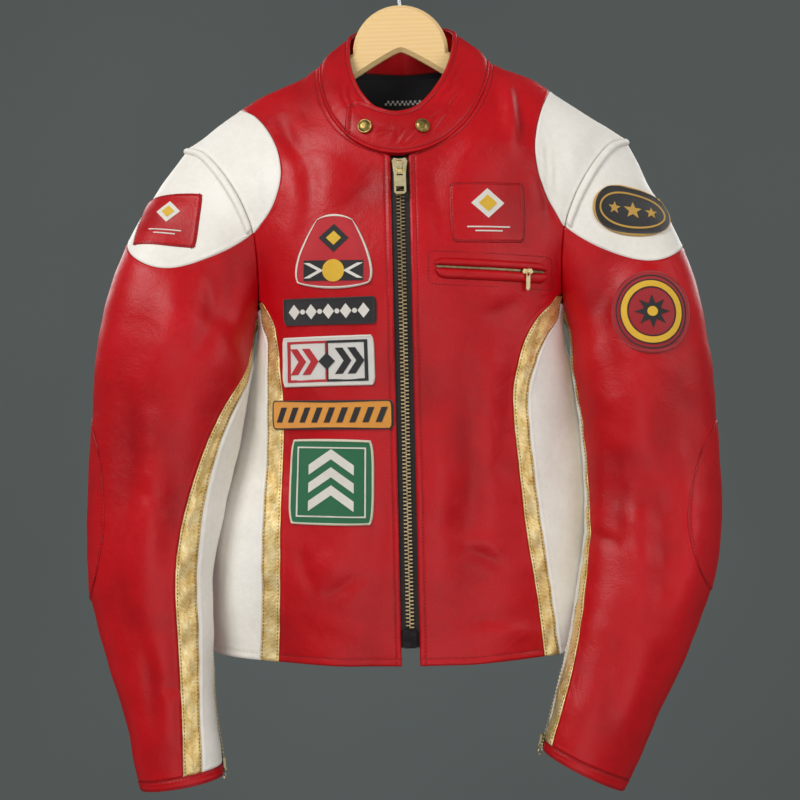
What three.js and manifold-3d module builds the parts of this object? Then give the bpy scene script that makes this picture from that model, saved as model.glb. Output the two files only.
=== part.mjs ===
// A leather racing jacket hanging on a wooden hanger.
// Millimetres, +Z up. The front faces -Y, and the origin is the point where the hanger's hook hangs.
// Right and left are the wearer's, so the right side lies at negative X.

import * as THREE from 'three';
import { mergeVertices } from 'three/addons/utils/BufferGeometryUtils.js';
import Module from 'manifold-3d';

// Driving dimensions

const LEATHER = 2.2;            // wall of a leather panel, with its seam turned under
const SEAM = 0.3;               // clear gap between two pieces
const FABRIC = 1.0;             // lining, zip tape and patch twill
const HEM = -738;               // level of the hem
const ARMPIT = -392;            // level of the armhole's lowest point
const FRONT = -1;               // faces of the body: the sign of Y
const BACK = 1;
const RIDGE = 0;
const SIDES = { right: -1, left: 1 };

const ZIP = { x: -8, gap: 18, top: -229, end: -701, foot: -720 };
const NECK = { half: 88, z: -122, frontDrop: 107 };
const COLLAR = { x: -2.5, half: 54, z: -90, frontDrop: 94, backRise: 20, front: 60, back: 40, bulge: 5 };
const COLLAR_WALL = 2.8;

// Shoulder line, from the neck to the shoulder tip, as seen from the front.
const SHOULDER = [
  { x: 0, z: -62 },
  { x: NECK.half, z: NECK.z },
  { x: 160, z: -162 },
  { x: 229, z: -206 },
  { x: 320, z: -264 },
];
const SHOULDER_ROUND = 120;     // depth below the shoulder line over which the body fills out

// Body: half width on each side, and depth in front of and behind the side seams, at each level.
const BODY = [
  { z: -60, right: 250, left: 250, front: 48, back: 50 },
  { z: -160, right: 250, left: 250, front: 56, back: 60 },
  { z: -230, right: 240, left: 240, front: 69, back: 72 },
  { z: -265, right: 222, left: 222, front: 76, back: 79 },
  { z: -317, right: 190, left: 190, front: 83, back: 85 },
  { z: -366, right: 167, left: 167, front: 85, back: 87 },
  { z: ARMPIT, right: 160, left: 160, front: 85, back: 87 },
  { z: -415, right: 161, left: 161, front: 84, back: 86 },
  { z: -450, right: 169, left: 168, front: 83, back: 85 },
  { z: -490, right: 178, left: 175, front: 81, back: 83 },
  { z: -540, right: 190, left: 183, front: 79, back: 81 },
  { z: -600, right: 210, left: 190, front: 79, back: 82 },
  { z: -660, right: 214, left: 192, front: 81, back: 85 },
  { z: -738, right: 215, left: 196, front: 84, back: 88 },
];
const BODY_SQUARE = 2.3;        // exponent of the body's oval: 2 is an ellipse, more is squarer

// Edge of the white shoulder cap on the body, from the cap's top on the shoulder line to the armhole.
const CAP_CORNER = -303;
const CAP_TIP = 5;              // the cap's pointed ends stop this far above the corner
const CAP_EDGE = [
  { z: -156, right: 178, left: 150 },
  { z: -169, right: 171, left: 144 },
  { z: -180, right: 155, left: 139 },
  { z: -200, right: 140, left: 133 },
  { z: -225, right: 130, left: 130 },
  { z: -250, right: 128, left: 134 },
  { z: -278, right: 137, left: 144 },
  { z: CAP_CORNER, right: 156, left: 156 },
];

// Foil stripe on the body: its two edges on each side. Above its first row it ends at the armhole.
const STRIPE_TOP = -372;
const SIDE_TOP = -379;          // top of the side panel, where the stripe leaves the armhole
const STRIPE = [
  { z: -366, rightIn: 156, rightOut: 158, leftIn: 156, leftOut: 158 },
  { z: ARMPIT, rightIn: 140, rightOut: 153, leftIn: 129, leftOut: 151 },
  { z: -415, rightIn: 136, rightOut: 147, leftIn: 114, leftOut: 135 },
  { z: -445, rightIn: 134, rightOut: 149, leftIn: 105, leftOut: 123 },
  { z: -475, rightIn: 132, rightOut: 150, leftIn: 101, leftOut: 116 },
  { z: -545, rightIn: 133, rightOut: 151, leftIn: 105, leftOut: 120 },
  { z: -620, rightIn: 135, rightOut: 153, leftIn: 112, leftOut: 128 },
  { z: -680, rightIn: 138, rightOut: 156, leftIn: 121, leftOut: 136 },
  { z: HEM, rightIn: 142, rightOut: 161, leftIn: 127, leftOut: 142 },
];

// Armhole as an angle round it: 0 at the shoulder tip, 90 in front, 180 under the arm.
const CAP_TURN = 102;
const ARMHOLE = [
  { turn: 0, x: 229, z: -206 },
  { turn: 13, x: 212, z: -213 },
  { turn: 36, x: 193, z: -233 },
  { turn: 58, x: 178, z: -255 },
  { turn: 77, x: 167, z: -276 },
  { turn: CAP_TURN, x: 158, z: CAP_CORNER },
  { turn: 129, x: 155, z: -335 },
  { turn: 157, x: 156, z: -368 },
  { turn: 180, x: 160, z: ARMPIT },
];

// Sleeves below the armhole, a row each 70 mm or so: outer and inner edge, middle depth, half depth,
// and the angles of the front seam and of the foil stripe's far edge.
const SLEEVE = {
  right: [
    { outX: 267, outZ: -260, inX: 164, inZ: -411, midY: -16, halfY: 47, seam: 150, foil: 162 },
    { outX: 296, outZ: -322, inX: 165, inZ: -444, midY: -32, halfY: 46, seam: 136, foil: 147 },
    { outX: 316, outZ: -401, inX: 169, inZ: -478, midY: -38, halfY: 45, seam: 128, foil: 139 },
    { outX: 327, outZ: -487, inX: 178, inZ: -523, midY: -42, halfY: 44, seam: 123, foil: 137 },
    { outX: 332, outZ: -580, inX: 197, inZ: -585, midY: -46, halfY: 41, seam: 122, foil: 141 },
    { outX: 327, outZ: -655, inX: 209, inZ: -640, midY: -52, halfY: 38, seam: 120, foil: 146 },
    { outX: 312, outZ: -734, inX: 207, inZ: -711, midY: -60, halfY: 34, seam: 117, foil: 145 },
    { outX: 291, outZ: -800, inX: 204, inZ: -780, midY: -70, halfY: 30, seam: 110, foil: 137 },
    { outX: 278, outZ: -855, inX: 199, inZ: -843, midY: -76, halfY: 27, seam: 99, foil: 128 },
  ],
  left: [
    { outX: 260, outZ: -272, inX: 165, inZ: -411, midY: -15, halfY: 47, seam: 164, foil: 182 },
    { outX: 284, outZ: -336, inX: 166, inZ: -449, midY: -29, halfY: 46, seam: 166, foil: 186 },
    { outX: 301, outZ: -415, inX: 169, inZ: -489, midY: -37, halfY: 45, seam: 166, foil: 188 },
    { outX: 309, outZ: -502, inX: 173, inZ: -535, midY: -43, halfY: 44, seam: 165, foil: 189 },
    { outX: 308, outZ: -588, inX: 174, inZ: -593, midY: -51, halfY: 41, seam: 162, foil: 188 },
    { outX: 296, outZ: -657, inX: 167, inZ: -649, midY: -62, halfY: 38, seam: 159, foil: 187 },
    { outX: 270, outZ: -729, inX: 151, inZ: -711, midY: -78, halfY: 34, seam: 154, foil: 186 },
    { outX: 232, outZ: -797, inX: 134, inZ: -768, midY: -90, halfY: 30, seam: 151, foil: 186 },
    { outX: 197, outZ: -861, inX: 119, inZ: -820, midY: -96, halfY: 27, seam: 150, foil: 186 },
  ],
};
const SEAM_TOP = 155;           // front seam and foil edge where the sleeve leaves the armhole
const FOIL_TOP = 173;
const BACK_SEAM = -155;         // seam behind the arm
const CAP_SLIVER = 0.3;         // share by which the sleeve cap's pointed ends are blunted
// White sleeve cap: its length along the shoulder, in rows, and how far it dips in front and behind.
const SLEEVE_CAP = { right: { along: 1.75, dip: 0.2 }, left: { along: 1.83, dip: 0 } };
const CUFF_START = 8.82;        // the cuff band runs from here to the last row
const SLEEVE_END = 9;

// Collar: the under end starts just left of the zip, and the tab ends on the right over it.
const COLLAR_UNDER = 4;
const TAB = { lapStart: 39, lapFull: 6, end: 38, lean: 6, corner: 0.35, lift: COLLAR_WALL + 0.5 };
const SNAPS = [                 // seat is off the true curve, over the collar's facets
  { name: 'snap_tab', angle: -24, up: 0.38, seat: 0.6 },
  { name: 'snap_fixed', angle: 18, up: 0.46, seat: -0.25 },
];
const SNAP_RADIUS = 7.3;

// Flat pieces sewn on the outside stand this far off the leather, which is faceted under them.
const LAID = 0.55;
const LAID_ROUND = 0.8;         // the same, round the tighter curve of a sleeve
const PATCH = 1.3;

// Patches by the place of their middle as seen from the front. Round runs from 0, a rectangle, to 1,
// an oval; taper is the share of its width that a patch loses towards its top.
const PATCHES = [
  { name: 'patch_badge', on: 'body', x: -75, z: -326, width: 92, height: 74, tilt: -2, round: 0.6,
    taper: 0.5, color: '#d8302a', cells: [6, 6] },
  { name: 'patch_black_bar', on: 'body', x: -82, z: -385, width: 97, height: 27, tilt: -0.6, round: 0,
    color: '#1b1a1c', cells: [7, 2] },
  { name: 'patch_white_bar', on: 'body', x: -85, z: -434.5, width: 97, height: 50, tilt: 0.2, round: 0,
    color: '#e9e6df', cells: [7, 3] },
  { name: 'patch_yellow_bar', on: 'body', x: -83, z: -488, width: 127, height: 29, tilt: -0.7, round: 0,
    color: '#e8962a', cells: [9, 2] },
  { name: 'patch_green', on: 'body', x: -83, z: -555, width: 86, height: 86, tilt: -1.6, round: 0.1,
    color: '#17753f', cells: [6, 5] },
  { name: 'patch_chest', on: 'body', x: 79, z: -290, width: 77, height: 61, tilt: 0, round: 0.1,
    color: '#a5151c', cells: [6, 4] },
  { name: 'patch_arm_square', on: 'right', x: -244, z: -283, width: 62, height: 57, tilt: -9,
    round: 0.15, color: '#b3202a', cells: [6, 5] },
  { name: 'patch_arm_oval', on: 'left', x: 232, z: -288, width: 88, height: 54, tilt: -8, round: 1,
    color: '#1b1a1c', cells: [8, 5] },
  { name: 'patch_arm_round', on: 'left', x: 240, z: -394, width: 84, height: 88, tilt: 0, round: 1,
    color: '#b3202a', cells: [8, 8] },
];

// Elbow pads: the angle of the middle and of half their width, and their reach along the sleeve.
const ELBOW = {
  right: { turn: -3, half: 52 }, left: { turn: 8, half: 60 }, along: 5.1, reach: 1.1, wall: 1.4,
};

// Chest pocket on the wearer's left: its zip line, which falls a little to the side, and its welts.
const POCKET = {
  from: 25, to: 136, z: -344, fall: 0.05, zip: 2.2, top: 8.6, topFall: 0.02, bottom: 10.6, welt: 1.6,
};

// Zips: the width of tape and chain, and the cuff zips by their angle and reach on the sleeve.
const CHAIN = { width: 6, thick: 2.9, tape: 26 };
const CUFF_ZIP = { turn: 198, from: 7, to: 8.97, slider: 8.84, half: 4 };

// Hanger: a flat board with a domed middle, a little under the shoulder seams, and a wire hook.
const BOARD = {
  x: -4, thick: 12, edge: 4, dome: 50, domeZ: -111, apex: -110, reach: 198, tip: 14, seat: 2.8,
};
const WIRE = 1.6;
const HOOK_RADIUS = 20;

// Surfaces

const clamp = THREE.MathUtils.clamp;
const lerp = THREE.MathUtils.lerp;
const radians = THREE.MathUtils.degToRad;
const point = (x, y, z) => new THREE.Vector3(x, y, z);

// One column of a table at a key between its rows, on a smooth curve through them.
function read(rows, key, name, at) {
  const last = rows.length - 1;
  const rising = Math.sign(rows[last][key] - rows[0][key]);
  let i = 0;
  while (i < last - 1 && rising * at > rising * rows[i + 1][key]) i += 1;
  const span = rows[i + 1][key] - rows[i][key];
  const t = clamp((at - rows[i][key]) / span, 0, 1);
  const slope = (j) => {
    const before = rows[Math.max(j - 1, 0)];
    const after = rows[Math.min(j + 1, last)];
    return (after[name] - before[name]) / (after[key] - before[key]);
  };
  return rows[i][name] * (1 + 2 * t) * (1 - t) ** 2
    + rows[i + 1][name] * t * t * (3 - 2 * t)
    + span * slope(i) * t * (1 - t) ** 2
    - span * slope(i + 1) * t * t * (1 - t);
}

// Height of the shoulder line over x, straight between its rows, and the x at which it has a height.
function shoulderLine(x) {
  const i = SHOULDER.findIndex((row) => Math.abs(x) <= row.x) || 1;
  const [a, b] = [SHOULDER[i - 1], SHOULDER[i]];
  return lerp(a.z, b.z, (Math.abs(x) - a.x) / (b.x - a.x));
}

function shoulderX(z) {
  const i = SHOULDER.findIndex((row) => z >= row.z);
  const [a, b] = [SHOULDER[i - 1], SHOULDER[i]];
  return lerp(a.x, b.x, (z - a.z) / (b.z - a.z));
}

// The body fills out below the shoulder line as a rounded edge.
function shoulderFill(x, z) {
  const below = clamp((shoulderLine(x) - z) / SHOULDER_ROUND, 0, 1);
  return (1 - (1 - below) ** 2) ** 0.6;
}

// Zero on the body's surface, positive outside it.
function bodyField(x, y, z) {
  const half = read(BODY, 'z', x < 0 ? 'right' : 'left', z);
  const depth = read(BODY, 'z', y < 0 ? 'front' : 'back', z) * Math.max(shoulderFill(x, z), 0.01);
  return (Math.abs(x) / half) ** BODY_SQUARE + (y / depth) ** 2 - 1;
}

function bodyPoint(x, z, face) {
  const half = read(BODY, 'z', x < 0 ? 'right' : 'left', z);
  const depth = read(BODY, 'z', face === BACK ? 'back' : 'front', z) * shoulderFill(x, z);
  const room = Math.max(1 - (Math.abs(x) / half) ** BODY_SQUARE, 0);
  return point(x, face * Math.max(depth * Math.sqrt(room), SEAM / 2), z);
}

function bodyNormal(x, z, face) {
  const level = Math.min(z, shoulderLine(x) - 0.6);
  const p = bodyPoint(x, level, face || FRONT);
  const step = 0.2;
  const n = point(
    bodyField(p.x + step, p.y, p.z) - bodyField(p.x - step, p.y, p.z),
    bodyField(p.x, p.y + step, p.z) - bodyField(p.x, p.y - step, p.z),
    bodyField(p.x, p.y, p.z + step) - bodyField(p.x, p.y, p.z - step),
  );
  if (face === RIDGE || level < z) n.y = 0;
  return n.normalize();
}

const onBody = (x, z, face) => ({ p: bodyPoint(x, z, face), n: bodyNormal(x, z, face) });

// A point of the armhole, with the turn counted to 360 round the back.
function armholePlace(turn) {
  const front = ((turn % 360) + 360) % 360;
  const t = front > 180 ? 360 - front : front;
  const face = t === 0 ? RIDGE : (front > 180 ? BACK : FRONT);
  return { x: read(ARMHOLE, 'turn', 'x', t), z: read(ARMHOLE, 'turn', 'z', t), face };
}

function armholePoint(side, turn) {
  const at = armholePlace(turn);
  const p = bodyPoint(SIDES[side] * at.x, at.z, at.face);
  if (Math.abs(p.y) <= SEAM / 2) p.y = 0;
  return p;
}

function sleeveRing(side, turn, row) {
  if (row <= 0) return armholePoint(side, turn);
  const at = SLEEVE[side][Math.min(row, SLEEVE_END) - 1];
  const c = Math.cos(radians(turn));
  const x = (at.outX + at.inX) / 2 + c * (at.outX - at.inX) / 2;
  const z = (at.outZ + at.inZ) / 2 + c * (at.outZ - at.inZ) / 2;
  return point(SIDES[side] * x, at.midY - at.halfY * Math.sin(radians(turn)), z);
}

// The sleeve's surface: an angle round it, and a distance along it counted in rows.
function sleevePoint(side, turn, along) {
  const i = clamp(Math.floor(along), 0, SLEEVE_END - 1);
  const rings = [i - 1, i, i + 1, i + 2].map((row) => sleeveRing(side, turn, row));
  if (i === 0) rings[0] = rings[1].clone().multiplyScalar(2).sub(rings[2]);
  if (i === SLEEVE_END - 1) rings[3] = rings[2].clone().multiplyScalar(2).sub(rings[1]);
  const t = along - i;
  const weight = [
    -t * (1 - t) ** 2 / 2,
    1 + t * t * (3 * t - 5) / 2,
    t * (1 + 4 * t - 3 * t * t) / 2,
    -t * t * (1 - t) / 2,
  ];
  const p = point(0, 0, 0);
  rings.forEach((ring, k) => p.addScaledVector(ring, weight[k]));
  return p;
}

function sleeveNormal(side, turn, along) {
  const s = clamp(along, 0.04, SLEEVE_END - 0.04);
  const round = sleevePoint(side, turn + 2, s).sub(sleevePoint(side, turn - 2, s));
  const down = sleevePoint(side, turn, s + 0.03).sub(sleevePoint(side, turn, s - 0.03));
  const n = round.cross(down).normalize().multiplyScalar(SIDES[side]);
  if (along > 0) return n;
  const at = armholePlace(turn);
  return n.add(bodyNormal(SIDES[side] * at.x, at.z, at.face)).normalize();
}

const onSleeve = (side, turn, along) => ({
  p: sleevePoint(side, turn, along),
  n: sleeveNormal(side, turn, along),
});

// The sleeve's lines of stitching: its seams turn as they run down, and a share across the panel
// between the back seam and the front seam turns with them.
const seamTurn = (side, along, name, top) => read(
  [{ row: 0, [name]: top }, ...SLEEVE[side].map((row, i) => ({ row: i + 1, [name]: row[name] }))],
  'row', name, along,
);
const frontSeam = (side, along) => seamTurn(side, along, 'seam', SEAM_TOP);
const foilEdge = (side, along) => seamTurn(side, along, 'foil', FOIL_TOP);
const mainTurn = (side, share, along) => lerp(BACK_SEAM, frontSeam(side, along), share);
const capShare = (turn) => (turn - BACK_SEAM) / (SEAM_TOP - BACK_SEAM);

// Where the white sleeve cap ends on a line down the sleeve.
function capLength(side, share) {
  let along = 0;
  for (let i = 0; i < 30; i += 1) {
    const turn = Math.abs(mainTurn(side, share, along)) / CAP_TURN;
    const reach = SLEEVE_CAP[side].along * (1 + SLEEVE_CAP[side].dip * turn);
    along = lerp(along, reach * Math.sqrt(Math.max(1 - turn ** 2.5, 0)), 0.5);
  }
  return along;
}

// The collar: an angle from the front centre, positive to the wearer's left, and a share of its height.
// It stands on the neckline and leans in to a smaller ring.
function collarPoint(angle, up, lift) {
  const forward = Math.cos(radians(angle));
  const across = Math.sin(radians(angle));
  const shift = ZIP.x * Math.max(forward, 0);
  const neck = bodyPoint(
    NECK.half * across + shift,
    NECK.z - NECK.frontDrop * Math.max(forward, 0),
    Math.abs(forward) < 0.01 ? RIDGE : -Math.sign(forward),
  );
  const rim = point(
    COLLAR.half * across + COLLAR.x + shift,
    forward > 0 ? -COLLAR.front * forward : -COLLAR.back * forward,
    COLLAR.z - (forward > 0 ? COLLAR.frontDrop : COLLAR.backRise) * forward,
  );
  const out = point(across, -forward, 0.3).normalize();
  return neck.lerp(rim, up).addScaledVector(out, lift + COLLAR.bulge * Math.sin(Math.PI * up));
}

function onCollar(angle, up, lift) {
  const round = collarPoint(angle + 1, up, lift).sub(collarPoint(angle - 1, up, lift));
  const rise = collarPoint(angle, up + 0.01, lift).sub(collarPoint(angle, up - 0.01, lift));
  return { p: collarPoint(angle, up, lift), n: round.cross(rise).normalize() };
}

// Solids

// A closed solid between two offsets from a grid of surface samples.
function sheet(samples, from, to, closed = false) {
  const rows = samples.length;
  const cols = samples[0].length;
  const positions = [];
  for (const offset of [to, from]) {
    for (const row of samples) {
      for (const { p, n } of row) positions.push(...p.clone().addScaledVector(n, offset).toArray());
    }
  }
  const inner = rows * cols;
  const index = [];
  const quad = (a, b, c, d) => index.push(a, b, c, a, c, d);
  const at = (i, j) => i * cols + (j % cols);
  const lastCell = closed ? cols : cols - 1;
  for (let i = 0; i < rows - 1; i += 1) {
    for (let j = 0; j < lastCell; j += 1) {
      quad(at(i, j), at(i + 1, j), at(i + 1, j + 1), at(i, j + 1));
      quad(inner + at(i, j), inner + at(i, j + 1), inner + at(i + 1, j + 1), inner + at(i + 1, j));
    }
  }
  for (let j = 0; j < lastCell; j += 1) {
    quad(at(0, j), at(0, j + 1), inner + at(0, j + 1), inner + at(0, j));
    quad(at(rows - 1, j), inner + at(rows - 1, j), inner + at(rows - 1, j + 1), at(rows - 1, j + 1));
  }
  for (let i = 0; i < rows - 1 && !closed; i += 1) {
    const j = cols - 1;
    quad(at(i + 1, 0), at(i, 0), inner + at(i, 0), inner + at(i + 1, 0));
    quad(at(i + 1, j), inner + at(i + 1, j), inner + at(i, j), at(i, j));
  }
  const geometry = new THREE.BufferGeometry();
  geometry.setAttribute('position', new THREE.Float32BufferAttribute(positions, 3));
  geometry.setIndex(index);
  return facingOut(geometry);
}

// Turn every triangle over where a solid came out inside out.
function facingOut(geometry) {
  const place = geometry.getAttribute('position');
  const index = geometry.getIndex();
  const corner = (k) => new THREE.Vector3().fromBufferAttribute(place, index.getX(k));
  let volume = 0;
  for (let k = 0; k < index.count; k += 3) {
    volume += corner(k).dot(corner(k + 1).cross(corner(k + 2)));
  }
  if (volume < 0) index.array.reverse();
  geometry.computeVertexNormals();
  return geometry;
}

const grid = (rows, cols, sample) => Array.from({ length: rows + 1 }, (_, i) => (
  Array.from({ length: cols + 1 }, (_, j) => sample(i / rows, j / cols, i, j))
));

// Draw the border of a grid inwards, so that neighbours on the same seam stay apart.
function inset(samples, closed = false, amount = SEAM / 2) {
  const rows = samples.length - 1;
  const cols = samples[0].length - 1;
  const moves = [];
  const draw = (i, j, di, dj) => {
    const { p, n } = samples[i][j];
    const inward = samples[i + di][j + dj].p.clone().sub(p);
    const [a, b] = di === 0
      ? [samples[Math.max(i - 1, 0)][j], samples[Math.min(i + 1, rows)][j]]
      : [samples[i][Math.max(j - 1, 0)], samples[i][Math.min(j + 1, cols)]];
    const along = b.p.clone().sub(a.p).normalize();
    inward.addScaledVector(along, -inward.dot(along));
    inward.addScaledVector(n, -inward.dot(n)).normalize();
    moves.push([p, inward.multiplyScalar(amount)]);
  };
  for (let i = 0; i <= rows && !closed; i += 1) {
    draw(i, 0, 0, 1);
    draw(i, cols, 0, -1);
  }
  for (let j = 0; j <= cols; j += 1) {
    draw(0, j, 1, 0);
    draw(rows, j, -1, 0);
  }
  moves.forEach(([p, move]) => p.add(move));
  return samples;
}

const wall = (samples, closed = false) => sheet(inset(samples, closed), -LEATHER, 0, closed);

// A piece laid on a surface round a middle point. Its outline goes from a rectangle to an oval as
// `round` goes from 0 to 1, and `tilt` turns it.
function laidOn(surface, a0, b0, { width, height, tilt, round, taper = 0, cells }, from, to) {
  const middle = surface(a0, b0);
  const step = 0.01;
  const ta = surface(a0 + step, b0).p.sub(middle.p).divideScalar(step);
  const tb = surface(a0, b0 + step).p.sub(middle.p).divideScalar(step);
  const across = point(0, 0, 1).cross(middle.n).normalize();
  across.applyAxisAngle(middle.n, radians(tilt));
  const up = middle.n.clone().cross(across);
  const [aa, ab, bb] = [ta.dot(ta), ta.dot(tb), tb.dot(tb)];
  const samples = grid(cells[1], cells[0], (v, u) => {
    const [x, y] = [2 * u - 1, 2 * v - 1];
    const half = width / 2 * (1 - taper * v);
    const reach = across.clone().multiplyScalar(half * x * Math.sqrt(1 - round * y * y / 2));
    reach.addScaledVector(up, height / 2 * y * Math.sqrt(1 - round * x * x / 2));
    const [ra, rb] = [reach.dot(ta), reach.dot(tb)];
    const det = aa * bb - ab * ab;
    return surface(a0 + (ra * bb - rb * ab) / det, b0 + (rb * aa - ra * ab) / det);
  });
  return sheet(samples, from, to);
}

// A solid given in the frame of a surface sample: X across, Y up the surface, and Z off it.
function seated(geometry, { p, n }) {
  const across = point(0, 0, 1).cross(n).normalize();
  const frame = new THREE.Matrix4().makeBasis(across, n.clone().cross(across), n);
  return geometry.applyMatrix4(frame.setPosition(p));
}

// The angle and distance along the sleeve of the front point that is seen at x, z.
function sleevePlace(side, x, z) {
  let [turn, along] = [80, 1.5];
  for (let i = 0; i < 40; i += 1) {
    const p = sleevePoint(side, turn, along);
    const byTurn = sleevePoint(side, turn + 1, along).sub(p);
    const byAlong = sleevePoint(side, turn, along + 0.01).sub(p).multiplyScalar(100);
    const det = byTurn.x * byAlong.z - byTurn.z * byAlong.x;
    const [dx, dz] = [x - p.x, z - p.z];
    turn += clamp((dx * byAlong.z - dz * byAlong.x) / det, -10, 10);
    along = clamp(along + clamp((byTurn.x * dz - byTurn.z * dx) / det, -0.5, 0.5), 0.05, 8.9);
    turn = clamp(turn, 10, 170);
  }
  return [turn, along];
}

const wasm = await Module();
wasm.setup();

// Join two closed geometries into one solid.
function joined(...geometries) {
  const solids = geometries.map((geometry) => {
    const bare = geometry.clone();
    bare.deleteAttribute('normal');
    bare.deleteAttribute('uv');
    const merged = mergeVertices(bare, 1e-4);
    const index = merged.getIndex().array;
    return new wasm.Manifold(new wasm.Mesh({
      numProp: 3,
      vertProperties: new Float32Array(merged.getAttribute('position').array),
      triVerts: new Uint32Array(index),
    }));
  });
  const mesh = solids.reduce((a, b) => a.add(b)).getMesh();
  const geometry = new THREE.BufferGeometry();
  geometry.setAttribute('position', new THREE.BufferAttribute(mesh.vertProperties, 3));
  geometry.setIndex(new THREE.BufferAttribute(mesh.triVerts, 1));
  geometry.computeVertexNormals();
  return geometry;
}

const shapeOf = (...corners) => new THREE.Shape(corners.map(([x, y]) => new THREE.Vector2(x, y)));
const rectangle = (x0, y0, x1, y1) => shapeOf([x0, y0], [x1, y0], [x1, y1], [x0, y1]);
const extrude = (shape, depth) => new THREE.ExtrudeGeometry(shape, { depth, bevelEnabled: false });

// Materials

const leather = (color) => new THREE.MeshStandardMaterial({ color, roughness: 0.42 });
const redLeather = leather('#b5171e');
const whiteLeather = leather('#ece7da');
const foil = new THREE.MeshStandardMaterial({ color: '#c9a04a', roughness: 0.3, metalness: 0.8 });
const blackCloth = new THREE.MeshStandardMaterial({ color: '#18171a', roughness: 0.9 });
const brass = new THREE.MeshStandardMaterial({ color: '#c3a562', roughness: 0.32, metalness: 1 });
const wood = new THREE.MeshStandardMaterial({ color: '#e6c68f', roughness: 0.45 });
const wire = new THREE.MeshStandardMaterial({ color: '#b9bcc0', roughness: 0.25, metalness: 1 });
const twill = (color) => new THREE.MeshStandardMaterial({ color, roughness: 0.8 });

const jacket = new THREE.Group();
function add(name, geometry, material) {
  const mesh = new THREE.Mesh(geometry, material);
  mesh.name = name;
  jacket.add(mesh);
  return mesh;
}

// Body panels

// Levels of the rows. The first few follow the neckline by its angle, so that the collar meets them.
const NECK_ANGLES = {
  right: [88, 76, 64, 52, 40, 26, 6],
  left: [88, 71.5, 60, 50, 39, 26, 6],
};
const neckLevel = (angle) => NECK.z - NECK.frontDrop * Math.cos(radians(angle));
const neckX = (sign, angle) => (
  sign * NECK.half * Math.sin(radians(angle)) + ZIP.x * Math.cos(radians(angle))
);
const CAP_TOP = { right: neckLevel(64), left: neckLevel(71.5) };
const CHEST_LEVELS = [-253, -278, CAP_CORNER];
const ARM_LEVELS = [-335, -366, STRIPE_TOP, SIDE_TOP];
const WAIST_LEVELS = [ARMPIT, -415, -445, -475, -510, -545, -580, -620, -660, -700, HEM];

const armTurn = (z) => read(ARMHOLE, 'z', 'turn', z);
const capEdge = (side, z) => (
  z >= CAP_TOP[side] ? shoulderX(z) : read(CAP_EDGE, 'z', side, z)
);

// Levels of the shoulder cap's rows, from the shoulder line down to just above its sharp corner, and
// the turn of the armhole that each row reaches. The sleeve's panels share these turns.
const capLevels = (side) => [
  ...NECK_ANGLES[side].map(neckLevel).filter((z) => z <= CAP_TOP[side]),
  ...CHEST_LEVELS.slice(0, -1),
  CAP_CORNER + CAP_TIP,
];
const capTurn = (side, z) => CAP_TURN * (CAP_TOP[side] - z) / (CAP_TOP[side] - CAP_CORNER);

// The outer end of a body row: on the shoulder, the cap's edge, the armhole, or the stripe's edge.
function rowEnd(side, z, armEnd, below) {
  if (z >= CAP_CORNER) return { x: capEdge(side, z), z };
  if (z > armEnd) return { ...armholePlace(armTurn(z)), turn: armTurn(z) };
  return { x: below(z), z };
}

// Rows of a panel between two ends. The columns crowd towards the ends where the body turns away.
function bodyPanel(rows, cols, face, side, spacing) {
  return rows.map(({ start, end }) => Array.from({ length: cols + 1 }, (_, j) => {
    const t = spacing(j / cols);
    const sample = onBody(lerp(start.x, end.x, t), lerp(start.z, end.z, t), face);
    const edge = j === 0 ? start : end;
    if ((j === 0 || j === cols) && edge.turn !== undefined) {
      sample.n = sleeveNormal(edge.side || side, face === BACK ? -edge.turn : edge.turn, 0);
    }
    return sample;
  }));
}

const crowdEnd = (t) => Math.sin(t * Math.PI / 2);
const crowdBoth = (t) => (1 + Math.sin((t - 0.5) * Math.PI)) / 2;

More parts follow.
